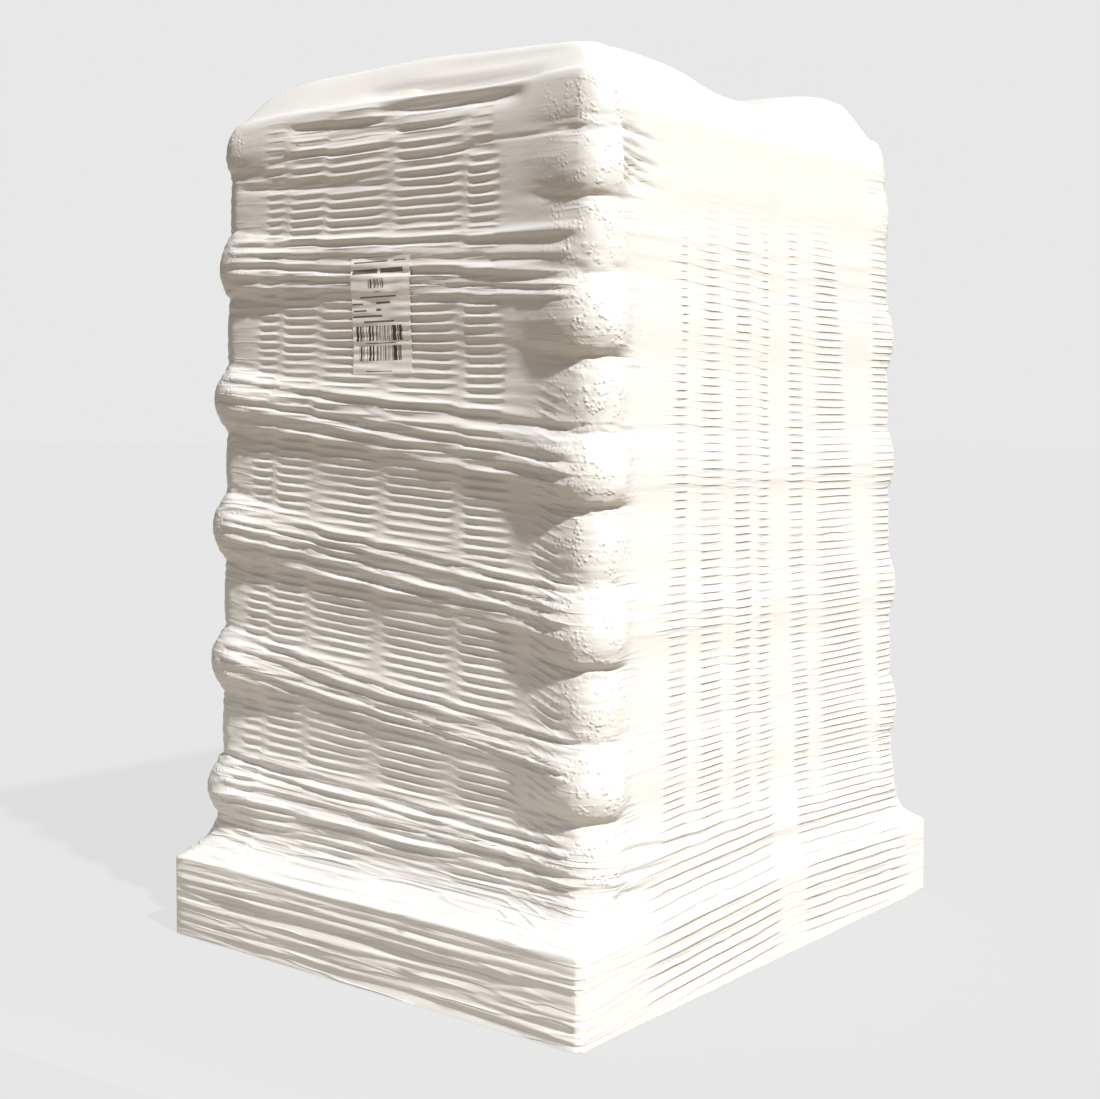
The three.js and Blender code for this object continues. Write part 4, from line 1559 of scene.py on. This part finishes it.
@dataclass
class SackLayers:
    """The sacks: five to a layer, three beside two, turned from layer to layer.

    Attributes:
        shape: the load that they make up.
        film_gap: how far the outermost sacks stay inside the film's plain outline.
        spacing: half the gap between two sacks.
        seal: how far a sack's sealed end stands out, which is part of its length.
        voxel: size of the faces of a sack's cloth.
        pressure: what blows the cloth up, and frames how long.
        squareness: how boxy the cloth starts.
        cap: how far the cloth may move.
        overfill: how much too large the sack is along each axis before it is pressed.
        press_start: share of its half size at which its neighbours start to press it flat.
        seal_height: half the height of the stretch that the sealed end is drawn from.
        gather: waves of the film towards the sealed ends, and gather_height their relief.
        short_share: share of the layer's width that the row of two takes.
        bed: gap between two layers.
        film_reach: how far in from the outline the layer follows the film.
        clearance: least gap to the film, and crown_gap the one under the crown.
        skin: the finished film.
    """

    shape: LoadShape
    film_gap: float = 0.007
    spacing: float = 0.002
    length: float = 0.540
    width: float = 0.366
    height: float = 0.120
    seal: float = 0.010
    voxel: float = 0.015
    pressure: float = 4.0
    cap: float = 0.014
    frames: int = 20
    squareness: float = 6.0
    overfill: Three = (1.04, 1.04, 1.10)
    press_start: float = 0.96
    seal_height: float = 0.012
    gather: Waver = Waver(31, 0.02, 0.09)
    gather_height: float = 0.0016
    short_share: float = 0.4
    bed: float = 0.0008
    film_reach: float = 0.12
    clearance: float = 0.003
    crown_gap: float = 0.006
    skin: BVHTree = field(init=False)

    def build(self, hood: Piece, finish: Material) -> list[Piece]:
        """Builds all the layers.

        Args:
            hood: the finished film, which all of them stay inside.
            finish: the sack film's material.

        Returns:
            One piece for each layer, from the lowest up.
        """
        self.skin = BVHTree.FromObject(hood, bpy.context.evaluated_depsgraph_get())
        sack = self._sack(finish)
        tree = self._stacking_tree(sack, finish)
        made = [self._layer(number, tree, finish) for number in range(LAYER_COUNT)]
        bpy.data.objects.remove(sack)
        return made

    def _sack(self, finish: Material) -> Piece:
        """Makes one filled sack, lying level with its middle at the origin, with both ends sealed flat.

        Args:
            finish: the sack film's material.

        Returns:
            The sack.
        """
        size = Vector((self.length - 2 * self.seal, self.width, self.height)) / 2
        tight = size - Vector((self.cap,) * 3) * 0.5
        steps = [np.linspace(-1, 1, n) for n in (36, 24, 8)]
        points, faces = self._box_skin(steps)
        length = (np.abs(points) ** self.squareness).sum(1) ** (1 / self.squareness)
        points = points / np.maximum(length, 1e-9)[:, None] * np.array(tight)
        sack = mesh_piece("filled_sack", points, faces, finish)
        remesh = sack.modifiers.new("cloth_faces", "REMESH")
        remesh.mode = "VOXEL"
        remesh.voxel_size = self.voxel
        remesh.use_smooth_shade = True
        settle(sack)
        self._blow_up(sack)
        self._settle_under_load(sack, size)
        return sack

    @staticmethod
    def _box_skin(steps: list[Array]) -> tuple[Array, list]:
        """Makes the closed skin of a box of 2 x 2 x 2 with the given steps along each axis.

        Args:
            steps: places from -1 to 1, for each axis.

        Returns:
            Its points, and lists of point numbers.
        """
        index: dict[tuple, int] = {}
        faces = []
        for axis in range(3):
            u, v = (axis + 1) % 3, (axis + 2) % 3
            for end in (-1.0, 1.0):
                for a, b in zip(steps[u], steps[u][1:]):
                    for c, d in zip(steps[v], steps[v][1:]):
                        ring = [(a, c), (b, c), (b, d), (a, d)][:: int(end)]
                        face = []
                        for p, q in ring:
                            key = [0.0, 0.0, 0.0]
                            key[axis], key[u], key[v] = end, round(float(p), 6), round(float(q), 6)
                            face.append(index.setdefault(tuple(key), len(index)))
                        faces.append(face)
        return np.array(list(index)), faces

    def _blow_up(self, sack: Piece) -> None:
        """Runs the cloth under pressure, and caps how far it moves.

        Args:
            sack: the sack, which it changes.
        """
        before = points_of(sack)
        cloth = sack.modifiers.new("cloth", "CLOTH")
        cloth.settings.quality = 5
        cloth.settings.mass = 0.15
        cloth.settings.use_pressure = True
        cloth.settings.uniform_pressure_force = self.pressure
        cloth.settings.effector_weights.gravity = 0
        scene = bpy.context.scene
        for step in range(1, self.frames + 1):
            scene.frame_set(step)
        settle(sack)
        scene.frame_set(1)
        move = points_of(sack) - before
        length = np.linalg.norm(move, axis=1, keepdims=True)
        move_points(sack, before + move * np.minimum(1, self.cap / np.maximum(length, 1e-9)))

    def _settle_under_load(self, sack: Piece, size: Vector) -> None:
        """Presses the sack flat where it lies on its neighbours, and draws its ends out to flat seals.

        Args:
            sack: the sack, which it changes.
            size: half its size without the seals.
        """
        at = points_of(sack)
        half = np.array(size)
        at *= half / np.abs(at).max(0) * self.overfill
        share, start = np.abs(at) / half, self.press_start
        pressed = start + (1 - start) * np.tanh((share - start) / (1 - start))
        at = np.where(share > start, np.sign(at) * half * pressed, at)
        share = np.abs(at) / half
        end = smooth_step(0.93, 1.0, share[:, 0]) * (1 - smooth_step(0.80, 0.97, share[:, 1]))
        at[:, 0] += np.sign(at[:, 0]) * self.seal * end * hill(at[:, 2], self.seal_height)
        gather = self.gather_height * self.gather.at(at[:, 1], at[:, 0])
        near_end = smooth_step(0.55, 0.9, np.abs(at[:, 0]) / half[0])
        at[:, 2] += gather * near_end * (1 - (at[:, 2] / half[2]) ** 2)
        move_points(sack, at)

    def _stacking_tree(self, sack: Piece, finish: Material) -> Tree:
        """Makes the nodes that lay a sack on each point, by the point's own size and turn.

        Args:
            sack: the sack that they lay.
            finish: the sack film's material.

        Returns:
            The node tree.
        """
        tree = bpy.data.node_groups.new("stacked_sacks", "GeometryNodeTree")
        for name, kind, value in (
            ("Places", "NodeSocketGeometry", None),
            ("Sack", "NodeSocketObject", sack),
            ("Finish", "NodeSocketMaterial", finish),
        ):
            socket = tree.interface.new_socket(name, in_out="INPUT", socket_type=kind)
            if value is not None:
                socket.default_value = value
        tree.interface.new_socket("Places", in_out="OUTPUT", socket_type="NodeSocketGeometry")
        source = add_node(tree, "NodeGroupInput")
        turn, size = (
            add_node(tree, NAMED_ATTRIBUTE, {"Name": name}, data_type="FLOAT_VECTOR").outputs["Attribute"]
            for name in ("turn", "size")
        )
        item = add_node(tree, "GeometryNodeObjectInfo", {"Object": source.outputs["Sack"]})
        laid = add_node(tree, "GeometryNodeInstanceOnPoints", {
            "Points": source.outputs["Places"],
            "Instance": item.outputs["Geometry"],
            "Rotation": turn,
            "Scale": size,
        })
        real = add_node(tree, "GeometryNodeRealizeInstances", {"Geometry": laid})
        dressed = {"Geometry": real, "Material": source.outputs["Finish"]}
        add_node(tree, "NodeGroupOutput", {"Places": add_node(tree, "GeometryNodeSetMaterial", dressed)})
        return tree

    def _cells(self, number: int) -> list[tuple[Vector, Vector, bool]]:
        """Lists the middle and the size of a layer's five places, and whether the sack lies along Y.

        Args:
            number: of the layer, 0 for the lowest.

        Returns:
            The places, the row of two before the row of three.
        """
        floor, ceiling = self.shape.levels[number], self.shape.levels[number + 1]
        half_x, half_y = (float(half) - self.film_gap for half in self.shape.halves(ceiling))
        turned = -1 if number % 2 == 0 else 1
        seam = turned * half_x * (1 - 2 * self.short_share)
        middle_z, height = (floor + ceiling) / 2, ceiling - floor
        rows = ((turned * half_x, 2, True), (-turned * half_x, 3, False))
        cells = []
        for edge, count, lies_along_y in rows:
            for place in range(count):
                middle = Vector(((seam + edge) / 2, half_y * ((2 * place + 1) / count - 1), middle_z))
                cells.append((middle, Vector((abs(edge - seam), 2 * half_y / count, height)), lies_along_y))
        return cells

    def _layer(self, number: int, tree: Tree, finish: Material) -> Piece:
        """Lays one layer.

        Args:
            number: 0 for the lowest.
            tree: the stacking nodes.
            finish: the sack film's material.

        Returns:
            The finished piece.
        """
        cells = self._cells(number)
        piece = mesh_piece(f"sacks_layer_{number + 1:02d}", np.array([cell[0] for cell in cells]), [], finish)
        turns, sizes = [], []
        for _, size, lies_along_y in cells:
            sides = (size.y, size.x) if lies_along_y else (size.x, size.y)
            length, width = (side - 2 * self.spacing for side in sides)
            turns.append((0, 0, math.pi / 2 if lies_along_y else 0))
            sizes.append((length / self.length, width / self.width, (size.z - self.bed) / self.height))
        for name, values in (("turn", turns), ("size", sizes)):
            layer = piece.data.attributes.new(name, "FLOAT_VECTOR", "POINT")
            layer.data.foreach_set("vector", np.array(values, np.float32).ravel())
        piece.modifiers.new("stacked_sacks", "NODES").node_group = tree
        settle(piece)
        self._follow_film(piece, number)
        return hand_over(piece, "sack_film", f"sack_layer_{number + 1:02d}")

    def _follow_film(self, piece: Piece, number: int) -> None:
        """Lets the layer's outer sides stand out with the film, and the top layer rise into the crown.

        Args:
            piece: the layer, which it changes.
            number: of the layer, 0 for the lowest.
        """
        shape = self.shape
        columns = Columns(0.02, 8, shape.flats, shape.corner_radius)
        at = points_of(piece)
        floor, ceiling = shape.levels[number], shape.levels[number + 1]
        no_push = np.zeros(len(columns.stop))
        plain = shape.outline(columns, shape.halves(ceiling), shape.corner_radius, no_push)
        away = np.linalg.norm(at[:, None, :2] - plain[None], axis=-1)
        nearest = away.argmin(1)
        shares = np.linspace(0, 1, 17)
        table = shape.push(columns, number + shares[:, None])
        level = np.clip((at[:, 2] - floor) / (ceiling - floor), 0, 1) * (len(shares) - 1)
        out = table[np.round(level).astype(int), nearest] * hill(away.min(1), self.film_reach)
        at[:, :2] += columns.normal[nearest] * out[:, None]
        if number == LAYER_COUNT - 1:
            over = [self.skin.ray_cast(Vector((x, y, 2.0)), Vector((0, 0, -1)))[0] for x, y in at[:, :2]]
            crown = np.array([ceiling if hit is None else hit.z for hit in over]) - self.crown_gap
            at[:, 2] = floor + (at[:, 2] - floor) * (crown - floor) / (ceiling - floor)
        for point in at:
            hit, normal, _, _ = self.skin.find_nearest(Vector(point), 0.05)
            if hit is not None and (Vector(point) - hit).dot(normal) > -self.clearance:
                point[:] = hit - normal * self.clearance
        move_points(piece, at)


@dataclass
class ShippingLabel:
    """The paper label stuck on the film of the -Y side.

    Attributes:
        low: its lower left corner along X and Z, and high its upper right one.
        columns: faces across it, and rows those up it.
        lift: how far it lies off the film.
        stiffness: how often its relief is evened out.
    """

    low: Band
    high: Band
    columns: int = 60
    rows: int = 84
    lift: float = 0.0005
    stiffness: int = 16

    def build(self, hood: Piece, finish: Material) -> Piece:
        """Lays the paper on the finished film.

        Args:
            hood: the film that it is stuck on.
            finish: the paper's material.

        Returns:
            The finished piece.
        """
        tree = BVHTree.FromObject(hood, bpy.context.evaluated_depsgraph_get())
        xs = np.linspace(self.low[0], self.high[0], self.columns + 1)
        zs = np.linspace(self.low[1], self.high[1], self.rows + 1)
        depth = np.zeros((len(zs), len(xs)))
        for i, z in enumerate(zs):
            for j, x in enumerate(xs):
                depth[i, j] = tree.ray_cast(Vector((x, -1.0, z)), Vector((0, 1, 0)))[0].y
        wide = np.pad(depth, 1, mode="edge")
        rows, columns = depth.shape
        outer = np.min([wide[i : i + rows, j : j + columns] for i in range(3) for j in range(3)], axis=0)
        face = np.minimum(self._soften(outer), outer) - self.lift
        points = np.stack(np.broadcast_arrays(xs, face, zs[:, None]), -1)
        quads = []
        for i in range(self.rows):
            for j in range(self.columns):
                a = i * (self.columns + 1) + j
                quads.append((a, a + 1, a + self.columns + 2, a + self.columns + 1))
        piece = mesh_piece("paper_label", points, quads, finish)
        uv = piece.data.uv_layers.new(name="sheet")
        for loop in piece.data.loops:
            row, column = divmod(loop.vertex_index, self.columns + 1)
            uv.data[loop.index].uv = (column / self.columns, row / self.rows)
        return hand_over(piece, "label_paper", "shipping_label")

    def _soften(self, depth: Array) -> Array:
        """Spreads the film's ripples out, because paper is stiffer than film.

        Args:
            depth: the film's place along Y, for each point of the paper.

        Returns:
            The evened place of the paper.
        """
        soft = depth.copy()
        for _ in range(self.stiffness):
            wide = np.pad(soft, 1, mode="edge")
            around = wide[:-2, 1:-1] + wide[2:, 1:-1] + wide[1:-1, :-2] + wide[1:-1, 2:]
            soft = (around + 2 * soft) / 6
        return soft


@dataclass
class Pallet:
    """The block pallet: its solids stay, and get the finish of sawn wood."""

    def dress(self, pine: SawnPine) -> None:
        """Gives every board and block its wood, with the grain the way the board runs.

        Args:
            pine: the finish.
        """
        along_x = pine.material(Grain.ALONG_X)
        along_y = pine.material(Grain.ALONG_Y)
        count = 0
        for name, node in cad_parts.items():
            if name.startswith("pallet_"):
                node.data.materials.clear()
                node.data.materials.append(along_x if "stringer" in name else along_y)
                count += 1
        LOG.info("pallet: %d boards and blocks", count)


@dataclass
class Studio:
    """Camera, floor and light.

    Attributes:
        azimuth: the camera's turn from -Y towards +X, in degrees, and elevation how far it looks down.
        place: where the camera stands.
        focal_pixels: the lens's focal length in pixels of the photograph.
        axis_row: the photograph's row through which the camera's axis passes.
        floor_half: half the floor's size.
        sun_towards: direction in which the sun stands, and sun_spread the angle that it fills, in degrees.
        sky: colour of the light from above, ground that from below, and blend how far above and below the
            horizon they mix.
        backdrop: colour that the camera sees behind the load.
        board_size: of the reflector, board_place its middle, and board_target what it shines at.
    """

    azimuth: float = 38.84
    elevation: float = 2.0
    place: Three = (2.101, -2.664, 1.003)
    focal_pixels: float = 1664.0
    axis_row: float = 480.0
    floor_half: float = 60.0
    sun_towards: Three = (0.66, -0.155, 0.73)
    sun_strength: float = 5.4
    sun_spread: float = 2.5
    sun_colour: Three = (1.0, 0.995, 0.985)
    sky: str = "86878b"
    ground: str = "ab9b80"
    blend: float = 0.3
    backdrop: str = "e8e8e8"
    board_size: Band = (1.5, 0.25)
    board_place: Three = (0.05, -1.15, 0.04)
    board_target: Three = (0.0, -0.6, 0.22)
    board_power: float = 1.7

    def build(self) -> None:
        """Adds them all."""
        self._add_camera()
        self._add_floor()
        self._add_light()
        bpy.context.scene.view_settings.view_transform = "Standard"

    def _add_camera(self) -> None:
        """Places the camera where the photograph was taken from."""
        lens = bpy.data.cameras.new("camera")
        lens.sensor_fit = "HORIZONTAL"
        lens.sensor_width = 36.0
        lens.lens = self.focal_pixels / PHOTO_WIDTH * lens.sensor_width
        lens.shift_y = (self.axis_row - PHOTO_HEIGHT / 2) / PHOTO_WIDTH
        lens.clip_end = 200.0
        camera = bpy.data.objects.new("camera", lens)
        camera.location = self.place
        camera.rotation_euler = (math.radians(90 - self.elevation), 0, math.radians(self.azimuth))
        bpy.context.scene.collection.objects.link(camera)
        bpy.context.scene.camera = camera

    def _add_floor(self) -> None:
        """Lays the floor, which doesn't throw its own light back onto the load."""
        half = self.floor_half
        points = np.array([[-half, -half, 0], [half, -half, 0], [half, half, 0], [-half, half, 0]])
        floor = mesh_piece("studio_floor", points, [[0, 1, 2, 3]], StudioFloor().material())
        floor.visible_diffuse = False

    def _add_light(self) -> None:
        """Adds the sun, the low reflector board in front of the label side, and the sky."""
        key = bpy.data.lights.new("key", "SUN")
        key.energy = self.sun_strength
        key.angle = math.radians(self.sun_spread)
        key.color = self.sun_colour
        lamp = bpy.data.objects.new("key", key)
        lamp.rotation_euler = Vector(self.sun_towards).to_track_quat("Z", "Y").to_euler()
        bpy.context.scene.collection.objects.link(lamp)

        board = bpy.data.lights.new("reflector_board", "AREA")
        board.shape = "RECTANGLE"
        board.size, board.size_y = self.board_size
        board.energy = self.board_power
        lamp = bpy.data.objects.new("reflector_board", board)
        lamp.location = self.board_place
        away = Vector(self.board_place) - Vector(self.board_target)
        lamp.rotation_euler = away.to_track_quat("Z", "Y").to_euler()
        lamp.visible_camera = False
        bpy.context.scene.collection.objects.link(lamp)

        world = bpy.data.worlds.new("studio")
        world.use_nodes = True
        tree = world.node_tree
        tree.nodes.clear()
        direction = add_node(tree, "ShaderNodeTexCoord").outputs["Generated"]
        height = add_node(tree, "ShaderNodeSeparateXYZ", {0: direction}).outputs["Z"]
        share = add_node(tree, RANGE, {0: height, 1: -self.blend, 2: self.blend, 3: 0.0, 4: 1.0})
        colours = {6: linear(self.ground), 7: linear(self.sky)}
        fill = add_node(tree, MIX, {0: share, **colours}, data_type="RGBA")
        soft = add_node(tree, "ShaderNodeBackground", {"Color": fill.outputs[2], "Strength": 1.0})
        plain = add_node(tree, "ShaderNodeBackground", {"Color": linear(self.backdrop), "Strength": 1.0})
        seen = add_node(tree, "ShaderNodeLightPath").outputs["Is Camera Ray"]
        mixed = add_node(tree, "ShaderNodeMixShader", {0: seen, 1: soft, 2: plain})
        add_node(tree, "ShaderNodeOutputWorld", {"Surface": mixed})
        bpy.context.scene.world = world


def layer_levels() -> Array:
    """Heights of the boundaries between the sack layers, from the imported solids."""
    boxes = [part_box(f"sack_layer_{number:02d}") for number in range(1, LAYER_COUNT + 1)]
    floors = [low.z for low, _ in boxes]
    return np.array([*floors, floors[-1] + TOP_LAYER])


def main() -> None:
    """Builds the load piece by piece."""
    logging.basicConfig(level=logging.INFO, format="%(name)s: %(message)s")
    studio = Studio()
    studio.build()
    shape = LoadShape(layer_levels())
    hood = FilmHood(shape).build(StretchFilm().material())
    SackLayers(shape).build(hood, SackFilm().material())
    ShippingLabel((-0.090, 1.089), (0.058, 1.299)).build(hood, LabelPaper().material())
    Pallet().dress(SawnPine())


if __name__ == "__main__":
    main()
